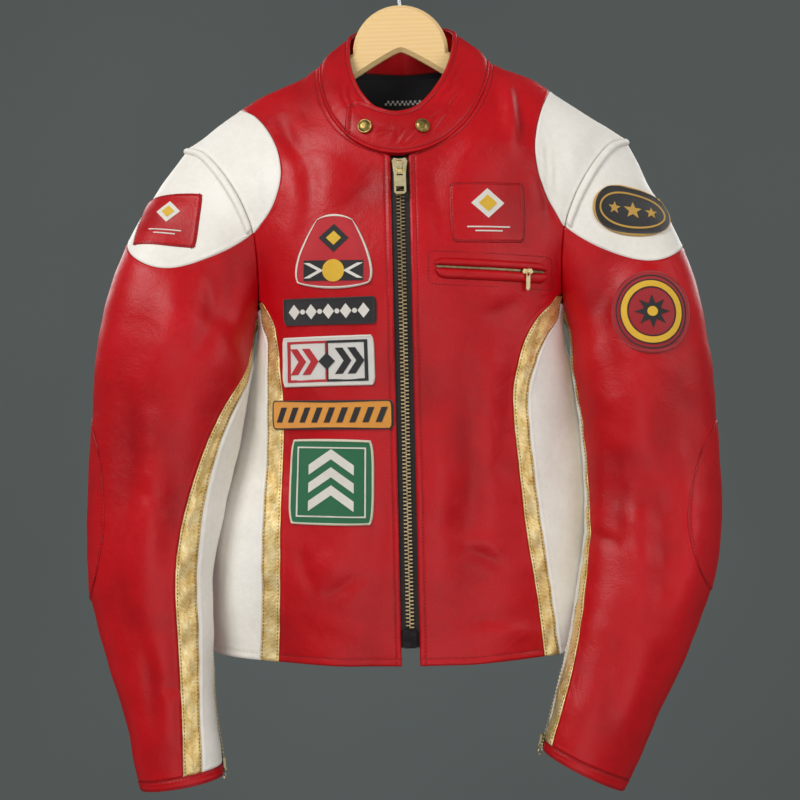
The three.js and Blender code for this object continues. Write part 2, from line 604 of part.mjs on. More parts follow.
for (const [side, sign] of Object.entries(SIDES)) {
  const stripeAt = (name) => (z) => read(STRIPE, 'z', side + name, z);

  // Front, from the neckline and the zip out to the shoulder, cap, armhole and stripe.
  const zipEdge = ZIP.x + sign * ZIP.gap / 2;
  const neckRows = NECK_ANGLES[side].map((angle) => ({
    start: { x: neckX(sign, angle), z: neckLevel(angle) },
    z: neckLevel(angle),
  }));
  neckRows[NECK_ANGLES[side].length - 1].start.x = zipEdge;
  const frontRows = [
    ...neckRows,
    ...[...CHEST_LEVELS, ...ARM_LEVELS, ...WAIST_LEVELS].map((z) => (
      { start: { x: zipEdge, z }, z }
    )),
  ].map(({ start, z }) => {
    const end = rowEnd(side, z, STRIPE_TOP, stripeAt('In'));
    return { start, end: { ...end, x: sign * end.x } };
  });
  add(`front_${side}`, wall(bodyPanel(frontRows, 7, FRONT, side, crowdEnd)), redLeather);

  // Foil stripe down the front, from the armhole to the hem.
  const stripeRows = [STRIPE_TOP, SIDE_TOP, ...WAIST_LEVELS].map((z) => {
    const end = z === STRIPE_TOP ? armholePlace(armTurn(z)).x : stripeAt('Out')(z);
    return { start: { x: sign * stripeAt('In')(z), z }, end: { x: sign * end, z } };
  });
  add(`stripe_${side}`, wall(bodyPanel(stripeRows, 1, FRONT, side, (t) => t)), foil);

  // White side panel, from the stripe to the side seam.
  const sideRows = [SIDE_TOP, ...WAIST_LEVELS].map((z) => {
    const end = rowEnd(side, z, ARMPIT, () => read(BODY, 'z', side, z));
    return { start: { x: sign * stripeAt('Out')(z), z }, end: { ...end, x: sign * end.x } };
  });
  add(`side_${side}`, wall(bodyPanel(sideRows, 4, FRONT, side, crowdEnd)), whiteLeather);

  // White shoulder cap on the body, one piece from front to back over the shoulder line. Its rows
  // share the levels of the panels that it meets, and the last one stops short of the sharp corner.
  const capHalf = (face) => capLevels(side).map((z, i) => {
    const turn = capTurn(side, z);
    const at = armholePlace(turn);
    const ends = { start: { x: sign * capEdge(side, z), z }, end: { x: sign * at.x, z: at.z, turn } };
    return bodyPanel([ends], 5, i === 0 ? RIDGE : face, side, (t) => t)[0];
  });
  const capRows = [...capHalf(BACK).reverse(), ...capHalf(FRONT).slice(1)];
  add(`shoulder_cap_${side}`, wall(capRows), whiteLeather);
}

// Back, one piece from side seam to side seam, with the shoulder caps and armholes cut out of it.
{
  const angles = (side) => [90, ...NECK_ANGLES[side].slice(1)];
  const levels = angles('right').map((angle, i) => ({
    right: neckLevel(angle),
    left: neckLevel(angles('left')[i]),
  }));
  for (const z of [...CHEST_LEVELS, ...ARM_LEVELS, ...WAIST_LEVELS]) {
    levels.push({ right: z, left: z });
  }
  const backEnd = (side, z) => {
    const end = rowEnd(side, z, ARMPIT, () => read(BODY, 'z', side, z));
    return { ...end, x: SIDES[side] * end.x, side };
  };
  const rows = levels.map((level, i) => (i === 0
    ? { start: { x: -NECK.half, z: NECK.z }, end: { x: NECK.half, z: NECK.z } }
    : { start: backEnd('right', level.right), end: backEnd('left', level.left) }));
  add('back', wall(bodyPanel(rows, 14, BACK, 'right', crowdBoth)), redLeather);
}

// Sleeves

const CUFF_STEPS = 20;
for (const side of Object.keys(SIDES)) {
  const surface = (turn, along) => onSleeve(side, turn, along);

  // Shares round the main panel: the back seam, the cap's corner, the cap's rows, and the front seam.
  const turns = capLevels(side).map((z) => capTurn(side, z));
  const capShares = [...turns.slice(1).reverse().map((turn) => -turn), ...turns].map(capShare);
  const corners = [capShare(-CAP_TURN), capShare(CAP_TURN)];
  const [behind, before] = [capShare(-armTurn(ARM_LEVELS[0])), capShare(armTurn(ARM_LEVELS[0]))];
  const shares = [0, behind, corners[0], ...capShares, corners[1], before, 1];

  // White sleeve cap, from the armhole to a curve across the upper arm. Its end columns lean from
  // the armhole's corner to the curve.
  const lastColumn = capShares.length - 1;
  const cap = grid(5, lastColumn, (v, u, i, j) => {
    const corner = j === 0 ? corners[0] : corners[1];
    const leans = j === 0 || j === lastColumn;
    const share = leans ? lerp(corner, capShares[j], lerp(CAP_SLIVER, 1, v)) : capShares[j];
    const along = v * capLength(side, capShares[j]);
    return surface(mainTurn(side, share, along), along);
  });
  add(`sleeve_cap_${side}`, wall(cap), whiteLeather);

  // Red main panel, below the cap and round to the seams.
  const main = grid(16, shares.length - 1, (v, u, i, j) => {
    const start = Math.abs(shares[j] - 0.5) < 0.5 ? capLength(side, shares[j]) : 0;
    const along = lerp(start, CUFF_START, v);
    return surface(mainTurn(side, shares[j], along), along);
  });
  add(`sleeve_main_${side}`, wall(main), redLeather);

  // Foil stripe and white under panel, from the armhole down to the cuff.
  const strip = (from, to, cells) => wall(grid(16, cells, (v, u) => {
    const along = CUFF_START * v;
    return surface(lerp(from(along), to(along), u), along);
  }));
  const back = () => 360 + BACK_SEAM;
  add(`sleeve_stripe_${side}`, strip((s) => frontSeam(side, s), (s) => foilEdge(side, s), 1), foil);
  add(`sleeve_under_${side}`, strip((s) => foilEdge(side, s), back, 4), whiteLeather);

  // Cuff band, a turned hem round the whole wrist.
  const band = grid(1, CUFF_STEPS - 1, (v, u, i, j) => (
    surface(j * 360 / CUFF_STEPS, lerp(CUFF_START, SLEEVE_END, v))
  ));
  add(`cuff_${side}`, wall(band, true), redLeather);
}

// Seam welts and elbow pads, laid on the sleeves

for (const side of Object.keys(SIDES)) {
  const turns = capLevels(side).map((z) => capTurn(side, z));
  const around = [...turns.slice(1).reverse().map((turn) => -turn), ...turns];
  const welt = grid(1, around.length - 1, (v, u, i, j) => onSleeve(side, around[j], 0.01 + v * 0.12));
  add(`armhole_welt_${side}`, sheet(welt, 1, 3.2), whiteLeather);

  const pad = grid(8, 8, (v, u) => {
    const [x, y] = [2 * u - 1, 2 * v - 1];
    const { turn, half } = ELBOW[side];
    return onSleeve(
      side,
      turn + half * x * Math.sqrt(1 - y * y / 2),
      ELBOW.along + ELBOW.reach * y * Math.sqrt(1 - x * x / 2),
    );
  });
  add(`elbow_${side}`, sheet(pad, LAID_ROUND, LAID_ROUND + ELBOW.wall), redLeather);
}

// Collar: one band from the under end round the back to the tab, which laps over the front.

const backAngles = Array.from({ length: 15 }, (_, k) => -90 - k * 180 / 14);
const collarAngles = [
  COLLAR_UNDER,
  ...[...NECK_ANGLES.right].reverse().map((angle) => -angle),
  ...backAngles,
  ...NECK_ANGLES.left.map((angle) => angle - 360),
  -360, -370, -381, -390, -360 - TAB.end,
];
const tabLift = (angle) => {
  const lap = clamp((TAB.lapStart - angle) / (TAB.lapStart - TAB.lapFull), 0, 1);
  return TAB.lift * lap * lap * (3 - 2 * lap);
};
const collarGrid = grid(3, collarAngles.length - 1, (v, u, i, j) => {
  const fromEnd = collarAngles.length - 1 - j;
  const angle = collarAngles[j] - (j > 30 ? TAB.lean * v * (1 - fromEnd / 6) : 0);
  const up = v * (1 - TAB.corner * (fromEnd === 0 ? 1 : 0) * v);
  return onCollar(angle, up, tabLift(angle + 360));
});
add('collar', sheet(inset(collarGrid), -COLLAR_WALL, 0), redLeather);

for (const { name, angle, up, seat } of SNAPS) {
  const profile = [[0, 0], [SNAP_RADIUS, 0], [SNAP_RADIUS, 0.6], [6, 1.7], [3.4, 2.4], [0, 2.6]];
  const dome = new THREE.LatheGeometry(profile.map(([x, y]) => new THREE.Vector2(x, y)), 14);
  dome.rotateX(Math.PI / 2);
  dome.translate(0, 0, seat);
  add(name, seated(dome, onCollar(angle, up, tabLift(angle))), brass);
}

// Lining behind the neck, and the size label on it

const liningIn = -LEATHER - 2.1;
const lining = grid(6, 8, (v, u) => onBody(lerp(-70, 70, u), lerp(-128, -240, v), BACK));
add('lining_back', sheet(lining, liningIn - FABRIC, liningIn), blackCloth);
const label = grid(2, 3, (v, u) => onBody(lerp(-23, 21, u), lerp(-148, -176, v), BACK));
add('label', sheet(label, liningIn - 2 * FABRIC - LAID, liningIn - FABRIC - LAID), twill('#d9d6cc'));

// Main zip: the tape under the two fronts, the closed chain, the pin and box, the slider and its pull

const zipLevels = [
  ZIP.top - 3, ...CHEST_LEVELS, ...ARM_LEVELS, ...WAIST_LEVELS.slice(0, -1), ZIP.foot,
];
const chainLevels = [ZIP.top - 6, ...zipLevels.slice(1, -1), ZIP.end];
const zipStrip = (levels, width, from, to) => sheet(levels.map((z) => (
  [-1, 0, 1].map((t) => onBody(ZIP.x + t * width / 2, z, FRONT))
)), from, to);
const tapeOut = -LEATHER - 0.4;
add('zip_tape', zipStrip(zipLevels, CHAIN.tape, tapeOut - FABRIC, tapeOut), blackCloth);
add('zip_chain', zipStrip(chainLevels, CHAIN.width, tapeOut + SEAM, tapeOut + SEAM + CHAIN.thick), brass);
add('zip_box', zipStrip([ZIP.end - SEAM, ZIP.foot], 2 * CHAIN.width, tapeOut + SEAM, 2.4), blackCloth);

// A slider: a body that narrows downwards, with an arched lug whose opening runs across.
// Sizes: width, length, thick, lug width, lug reach up and down, and the opening's height.
function slider({ width, length, foot, thick, lug, reach, opening, base }) {
  const half = width / 2;
  const body = extrude(shapeOf(
    [-half, length / 2 - 3], [-half + 2, length / 2], [-1, length / 2 - 1], [1, length / 2 - 1],
    [half - 2, length / 2], [half, length / 2 - 3], [foot / 2, -length / 2], [-foot / 2, -length / 2],
  ), thick);
  body.translate(0, 0, base);
  const arch = shapeOf(
    [-reach, -0.3], [reach, -0.3], [reach, opening], [reach - 1.5, opening + 1.4],
    [1.5 - reach, opening + 1.4], [-reach, opening],
  );
  arch.holes.push(rectangle(1.8 - reach, 0, reach - 1.8, opening));
  const bridge = extrude(arch, lug);
  bridge.applyMatrix4(new THREE.Matrix4().makeBasis(point(0, 1, 0), point(0, 0, 1), point(1, 0, 0)));
  bridge.translate(-lug / 2, 0, base + thick);
  return joined(body, bridge);
}

// A pull: a plate that hangs from a bar in the lug's opening, with the lug standing in its slot.
function pull({ width, length, bar, slotWidth, slotLength, grip, thick, lift }) {
  const [half, top] = [width / 2, bar / 2];
  const bottom = top - length;
  const plate = shapeOf(
    [-half, top], [-half, bottom + 2], [-half + 2, bottom], [half - 2, bottom],
    [half, bottom + 2], [half, top],
  );
  plate.holes.push(rectangle(-slotWidth / 2, -top - slotLength, slotWidth / 2, -top));
  if (grip) plate.holes.push(rectangle(-grip.width / 2, bottom + 2.5, grip.width / 2, bottom + 8));
  const geometry = extrude(plate, thick);
  geometry.translate(0, 0, lift - thick / 2);
  return geometry;
}

const MAIN_SLIDER = {
  width: 15.4, length: 17, foot: 12, thick: 3.2, lug: 4.6, reach: 5, opening: 2.7, base: 0.8,
};
const MAIN_PULL = {
  width: 12, length: 31, bar: 1.8, slotWidth: 6, slotLength: 10, grip: { width: 8 }, thick: 1.4,
};
const mainSeat = onBody(ZIP.x, ZIP.top - 14, FRONT);
const mainLift = MAIN_SLIDER.base + MAIN_SLIDER.thick + MAIN_SLIDER.opening / 2;
add('zip_slider', seated(slider(MAIN_SLIDER), mainSeat), brass);
add('zip_pull', seated(pull({ ...MAIN_PULL, lift: mainLift }), mainSeat), brass);

// Chest pocket: two welts with a zip between them

const pocketLine = (x) => POCKET.z - POCKET.fall * (x - POCKET.from);
const pocketStrip = (above, below, cells, from, to) => sheet(grid(cells, 8, (v, u) => {
  const x = lerp(POCKET.from, POCKET.to, u);
  return onBody(x, pocketLine(x) + lerp(above(x), below(x), v), FRONT);
}), from, to);
const half = POCKET.zip / 2;
const weltTop = (x) => half + POCKET.top - POCKET.topFall * (x - POCKET.from);
const weltOut = LAID + POCKET.welt;
add('pocket_welt_upper', pocketStrip(weltTop, () => half + SEAM, 1, LAID, weltOut), redLeather);
add('pocket_welt_lower', pocketStrip(
  () => -half - SEAM, () => -half - POCKET.bottom, 1, LAID, weltOut,
), redLeather);
add('pocket_zip', pocketStrip(() => half, () => -half, 1, LAID, LAID + FABRIC), blackCloth);

const POCKET_SLIDER = {
  width: 12, length: 5, foot: 10, thick: 1.6, lug: 1.7, reach: 2.9, opening: 1.7, base: weltOut + 0.4,
};
const POCKET_PULL = { width: 4.4, length: 20, bar: 1, slotWidth: 2.5, slotLength: 4.6, thick: 1 };
const pocketSeat = onBody(116, pocketLine(116), FRONT);
const pocketLift = POCKET_SLIDER.base + POCKET_SLIDER.thick + POCKET_SLIDER.opening / 2;
add('pocket_slider', seated(slider(POCKET_SLIDER), pocketSeat), brass);
add('pocket_pull', seated(pull({ ...POCKET_PULL, lift: pocketLift }), pocketSeat), brass);

// Cuff zips behind the wrist: a closed chain, its slider with an eye, and a ring in the eye

const EYE = { radius: 2.6, hole: 1.4, width: 1.6 };
const RING = { radius: 4.8, wire: 0.8 };
for (const side of Object.keys(SIDES)) {
  const chain = grid(6, 1, (v, u) => onSleeve(
    side, CUFF_ZIP.turn + (2 * u - 1) * CUFF_ZIP.half, lerp(CUFF_ZIP.from, CUFF_ZIP.to, v),
  ));
  add(`cuff_zip_${side}`, sheet(chain, LAID_ROUND, LAID_ROUND + FABRIC), brass);

  const seat = onSleeve(side, CUFF_ZIP.turn, CUFF_ZIP.slider);
  const base = LAID_ROUND + FABRIC + 1.5;
  const body = extrude(rectangle(-3, -5, 3, 5), 2.4);
  body.translate(0, 0, base);
  const ring = (r) => new THREE.Path().absarc(0, 0, r, 0, 2 * Math.PI);
  const eyeShape = new THREE.Shape(ring(EYE.radius).getPoints(7));
  eyeShape.holes.push(new THREE.Path(ring(EYE.hole).getPoints(6)));
  const eye = extrude(eyeShape, EYE.width);
  eye.applyMatrix4(new THREE.Matrix4().makeBasis(point(0, 1, 0), point(0, 0, 1), point(1, 0, 0)));
  eye.translate(-EYE.width / 2, -6.8, base + 1.2);
  add(`cuff_slider_${side}`, seated(joined(body, eye), seat), brass);
  const hoop = new THREE.TorusGeometry(RING.radius, RING.wire, 6, 16);
  hoop.translate(0, -6.8 - RING.radius, base + 1.2);
  add(`cuff_ring_${side}`, seated(hoop, seat), brass);
}

// Patches

for (const { name, on, x, z, color, ...size } of PATCHES) {
  const onArm = on !== 'body';
  const surface = onArm ? (turn, along) => onSleeve(on, turn, along) : (a, b) => onBody(a, b, FRONT);
  const [a, b] = onArm ? sleevePlace(on, x, z) : [x, z];
  const from = onArm ? LAID_ROUND : LAID;
  add(name, laidOn(surface, a, b, size, from, from + PATCH), twill(color));
}

// Hanger

// The height where the two walls of the body, with their thickness, leave this much room between them.
function roomAt(x, width) {
  const step = 0.4;
  for (let z = shoulderLine(x) - step; ; z -= step) {
    const inner = [FRONT, BACK].map((face) => {
      const { p, n } = onBody(x, z, face);
      return p.addScaledVector(n, -LEATHER - SEAM);
    });
    if (inner[1].y > width / 2 && inner[0].y < -width / 2) return Math.min(inner[0].z, inner[1].z);
  }
}

const arm = [BOARD.reach, 195, 185, 172, 160, 145, 128, 110, NECK.half].map((x) => {
  const far = x - BOARD.x;
  const edge = roomAt(far, BOARD.thick) + BOARD.edge;
  return [x, Math.min(edge, roomAt(far, BOARD.thick - 2 * BOARD.edge)) - BOARD.seat];
});
const board = new THREE.Shape();
board.moveTo(arm[0][0], arm[0][1]);
arm.slice(1).forEach(([x, z]) => board.lineTo(x, z));
board.absarc(0, BOARD.domeZ, BOARD.dome, 0, Math.PI);
[...arm].reverse().forEach(([x, z]) => board.lineTo(-x, z));
board.lineTo(-BOARD.reach - 4, arm[0][1] - BOARD.tip + 4);
board.lineTo(-BOARD.reach + 4, arm[0][1] - BOARD.tip);
board.lineTo(-BOARD.dome, BOARD.apex - BOARD.dome * 0.56);
board.quadraticCurveTo(-6, BOARD.apex, 0, BOARD.apex);
board.quadraticCurveTo(6, BOARD.apex, BOARD.dome, BOARD.apex - BOARD.dome * 0.56);
board.lineTo(BOARD.reach - 4, arm[0][1] - BOARD.tip);
board.lineTo(BOARD.reach + 4, arm[0][1] - BOARD.tip + 4);
const boardSolid = new THREE.ExtrudeGeometry(board, {
  depth: BOARD.thick - 2 * BOARD.edge,
  bevelThickness: BOARD.edge,
  bevelSize: BOARD.edge,
  bevelOffset: -BOARD.edge,
  bevelSegments: 1,
  curveSegments: 12,
});
boardSolid.rotateX(Math.PI / 2);
boardSolid.translate(BOARD.x, BOARD.thick / 2 - BOARD.edge, 0);
add('hanger_board', boardSolid, wood);

const r = HOOK_RADIUS + WIRE;
const hookCurve = new THREE.CatmullRomCurve3([
  [BOARD.x, BOARD.domeZ + BOARD.dome + SEAM], [BOARD.x, -50], [0.3 * r, -HOOK_RADIUS - r], [0.82 * r, -34],
  [r, -HOOK_RADIUS], [0.71 * r, 0.71 * r - HOOK_RADIUS], [0, WIRE],
  [-0.71 * r, 0.71 * r - HOOK_RADIUS], [-r, -HOOK_RADIUS], [-0.88 * r, -30],
].map(([x, z]) => point(x, 0, z)));
const wireShape = new THREE.Shape(new THREE.Path().absarc(0, 0, WIRE, 0, 2 * Math.PI).getPoints(7));
add('hanger_hook', new THREE.ExtrudeGeometry(wireShape, {
  steps: 34, extrudePath: hookCurve, bevelEnabled: false,
}), wire);

export default jacket;
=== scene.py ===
import math

import bmesh
import bpy
import numpy as np
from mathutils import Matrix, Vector
from mathutils.geometry import delaunay_2d_cdt
from mathutils.kdtree import KDTree


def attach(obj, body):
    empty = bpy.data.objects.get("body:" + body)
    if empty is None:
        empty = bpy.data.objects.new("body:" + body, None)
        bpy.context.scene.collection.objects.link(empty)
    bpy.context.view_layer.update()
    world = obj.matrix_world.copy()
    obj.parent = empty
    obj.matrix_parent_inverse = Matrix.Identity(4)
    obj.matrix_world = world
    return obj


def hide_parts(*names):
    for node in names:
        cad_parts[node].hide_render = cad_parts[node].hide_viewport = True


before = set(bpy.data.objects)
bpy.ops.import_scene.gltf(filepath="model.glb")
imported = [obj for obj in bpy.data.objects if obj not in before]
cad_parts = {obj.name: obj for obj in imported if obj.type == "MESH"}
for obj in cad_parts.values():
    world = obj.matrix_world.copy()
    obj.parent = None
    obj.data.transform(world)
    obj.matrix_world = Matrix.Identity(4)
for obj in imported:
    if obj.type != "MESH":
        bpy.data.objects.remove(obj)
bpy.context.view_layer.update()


def placed(name, data):
    """A new object in the scene."""
    made = bpy.data.objects.new(name, data)
    bpy.context.scene.collection.objects.link(made)
    return made


# Camera: level with the chest, 1.4 m in front, and turned a little, as the jacket hangs off plumb.
MM = 0.001
camera_data = bpy.data.cameras.new("camera")
camera_data.lens = 60
camera_data.sensor_width = 36
camera = placed("camera", camera_data)
camera.location = (-12.9 * MM, -1400 * MM, -474.8 * MM)
camera.rotation_euler = (math.radians(90), math.radians(1.3), 0)
bpy.context.scene.camera = camera

# Jacket fronts: red cowhide with its lining, each cut in one piece from the neck to the hem. The edges
# are turned under and topstitched, and the body is an oval that fills out below the shoulders.
HEM = -738
FRONT_TOP = -125.7
FRONT_NECK = -228.4
SIDE_TOP = -379
HEM_RISE = {"height": 6, "from": -600, "middle": 60, "spread": 130}
ARMPIT = -392
FRONT, BACK = -1, 1
RIGHT, LEFT = -1, 1
NAMES = {RIGHT: "right", LEFT: "left"}
ZIP = {"x": -8, "gap": 18, "top": -229, "end": -701, "foot": -720}
NECK = {"half": 88, "z": -122, "drop": 107}
LEATHER = 2.2


def table(columns, *rows):
    """A table of sizes as one array for each named column."""
    return dict(zip(columns.split(), np.array(rows, float).T))


def smooth(rows, key, name):
    """A smooth curve through one column of a table."""
    order = np.argsort(rows[key])
    at, value = rows[key][order], rows[name][order]
    slope = np.empty(len(at))
    slope[1:-1] = (value[2:] - value[:-2]) / (at[2:] - at[:-2])
    slope[0] = (value[1] - value[0]) / (at[1] - at[0])
    slope[-1] = (value[-1] - value[-2]) / (at[-1] - at[-2])

    def look(x):
        x = np.clip(x, at[0], at[-1])
        i = np.clip(np.searchsorted(at, x, side="right") - 1, 0, len(at) - 2)
        span = at[i + 1] - at[i]
        t = (x - at[i]) / span
        ends = value[i] * (1 + 2 * t) * (1 - t) ** 2 + value[i + 1] * t * t * (3 - 2 * t)
        return ends + span * t * (1 - t) * (slope[i] * (1 - t) - slope[i + 1] * t)

    return look


SHOULDER = table("x z", (0, -62), (88, -122), (160, -162), (229, -206), (320, -264))
SHOULDER_ROUND = 120
BODY = table(
    "z right left front back",
    (-60, 250, 250, 48, 50),
    (-160, 250, 250, 56, 60),
    (-230, 240, 240, 69, 72),
    (-265, 222, 222, 76, 79),
    (-317, 190, 190, 83, 85),
    (-366, 167, 167, 85, 87),
    (ARMPIT, 160, 160, 85, 87),
    (-415, 161, 161, 84, 86),
    (-450, 169, 168, 83, 85),
    (-490, 178, 175, 81, 83),
    (-540, 190, 183, 79, 81),
    (-600, 210, 190, 79, 82),
    (-660, 214, 192, 81, 85),
    (HEM, 215, 196, 84, 88),
)
BODY_SQUARE = 2.3
body_side = {side: smooth(BODY, "z", NAMES[side]) for side in (RIGHT, LEFT)}
body_depth = {FRONT: smooth(BODY, "z", "front"), BACK: smooth(BODY, "z", "back")}

CAP_CORNER = -303
CAP_TURN = 102
CAP_EDGE = table(
    "z right left",
    (-156, 178, 150),
    (-169, 171, 144),
    (-180, 155, 139),
    (-200, 140, 133),
    (-225, 130, 130),
    (-250, 128, 134),
    (-278, 137, 144),
    (CAP_CORNER, 156, 156),
)
CAP_TOP = {RIGHT: -168.9, LEFT: -156}
ARMHOLE = table(
    "turn x z",
    (0, 229, -206),
    (13, 212, -213),
    (36, 193, -233),
    (58, 178, -255),
    (77, 167, -276),
    (CAP_TURN, 158, CAP_CORNER),
    (129, 155, -335),
    (157, 156, -368),
    (180, 160, ARMPIT),
)
armhole_x = smooth(ARMHOLE, "turn", "x")
armhole_z = smooth(ARMHOLE, "turn", "z")
armhole_turn = smooth(ARMHOLE, "z", "turn")
STRIPE_TOP = -372
STRIPE = table(
    "z right_in right_out left_in left_out",
    (-366, 156, 158, 156, 158),
    (ARMPIT, 140, 153, 129, 151),
    (-415, 136, 147, 114, 135),
    (-445, 134, 149, 105, 123),
    (-475, 132, 150, 101, 116),
    (-545, 133, 151, 105, 120),
    (-620, 135, 153, 112, 128),
    (-680, 138, 156, 121, 136),
    (HEM, 142, 161, 127, 142),
)


def unit(v):
    return v / np.maximum(np.linalg.norm(v, axis=-1, keepdims=True), 1e-9)


def shoulder_line(x):
    return np.interp(np.abs(x), SHOULDER["x"], SHOULDER["z"])


def shoulder_x(z):
    return np.interp(-z, -SHOULDER["z"], SHOULDER["x"])


def shoulder_fill(x, z):
    below = np.clip((shoulder_line(x) - z) / SHOULDER_ROUND, 0, 1)
    return (1 - (1 - below) ** 2) ** 0.6


def body_field(x, y, z):
    half = np.where(x < 0, body_side[RIGHT](z), body_side[LEFT](z))
    depth = np.where(y < 0, body_depth[FRONT](z), body_depth[BACK](z))
    depth = depth * np.maximum(shoulder_fill(x, z), 0.01)
    return (np.abs(x) / half) ** BODY_SQUARE + (y / depth) ** 2 - 1


def hem_rise(x, z):
    """The hem hangs a little higher at the sides."""
    out = np.clip((np.abs(x - ZIP["x"]) - HEM_RISE["middle"]) / HEM_RISE["spread"], 0, 1)
    low = np.clip((HEM_RISE["from"] - z) / (HEM_RISE["from"] - HEM), 0, 1)
    return HEM_RISE["height"] * out * low**2


def on_body(x, z, face):
    """Points of the body's surface in front or behind, and which way the surface looks there."""
    x, z, face = np.broadcast_arrays(np.asarray(x, float), np.asarray(z, float), face)

    def depth_at(level):
        half = np.where(x < 0, body_side[RIGHT](level), body_side[LEFT](level))
        depth = np.where(face > 0, body_depth[BACK](level), body_depth[FRONT](level))
        room = np.maximum(1 - (np.abs(x) / half) ** BODY_SQUARE, 0)
        return np.maximum(depth * shoulder_fill(x, level) * np.sqrt(room), 0.15)

    level = np.minimum(z, shoulder_line(x) - 0.6)
    y = face * depth_at(level)
    h = 0.2
    n = np.stack([
        body_field(x + h, y, level) - body_field(x - h, y, level),
        body_field(x, y + h, level) - body_field(x, y - h, level),
        body_field(x, y, level + h) - body_field(x, y, level - h),
    ], axis=-1)
    n[..., 1] = np.where(level < z - 1e-6, n[..., 1] * 0.3, n[..., 1])
    return np.stack([x, face * depth_at(z), z + hem_rise(x, z)], axis=-1), unit(n)


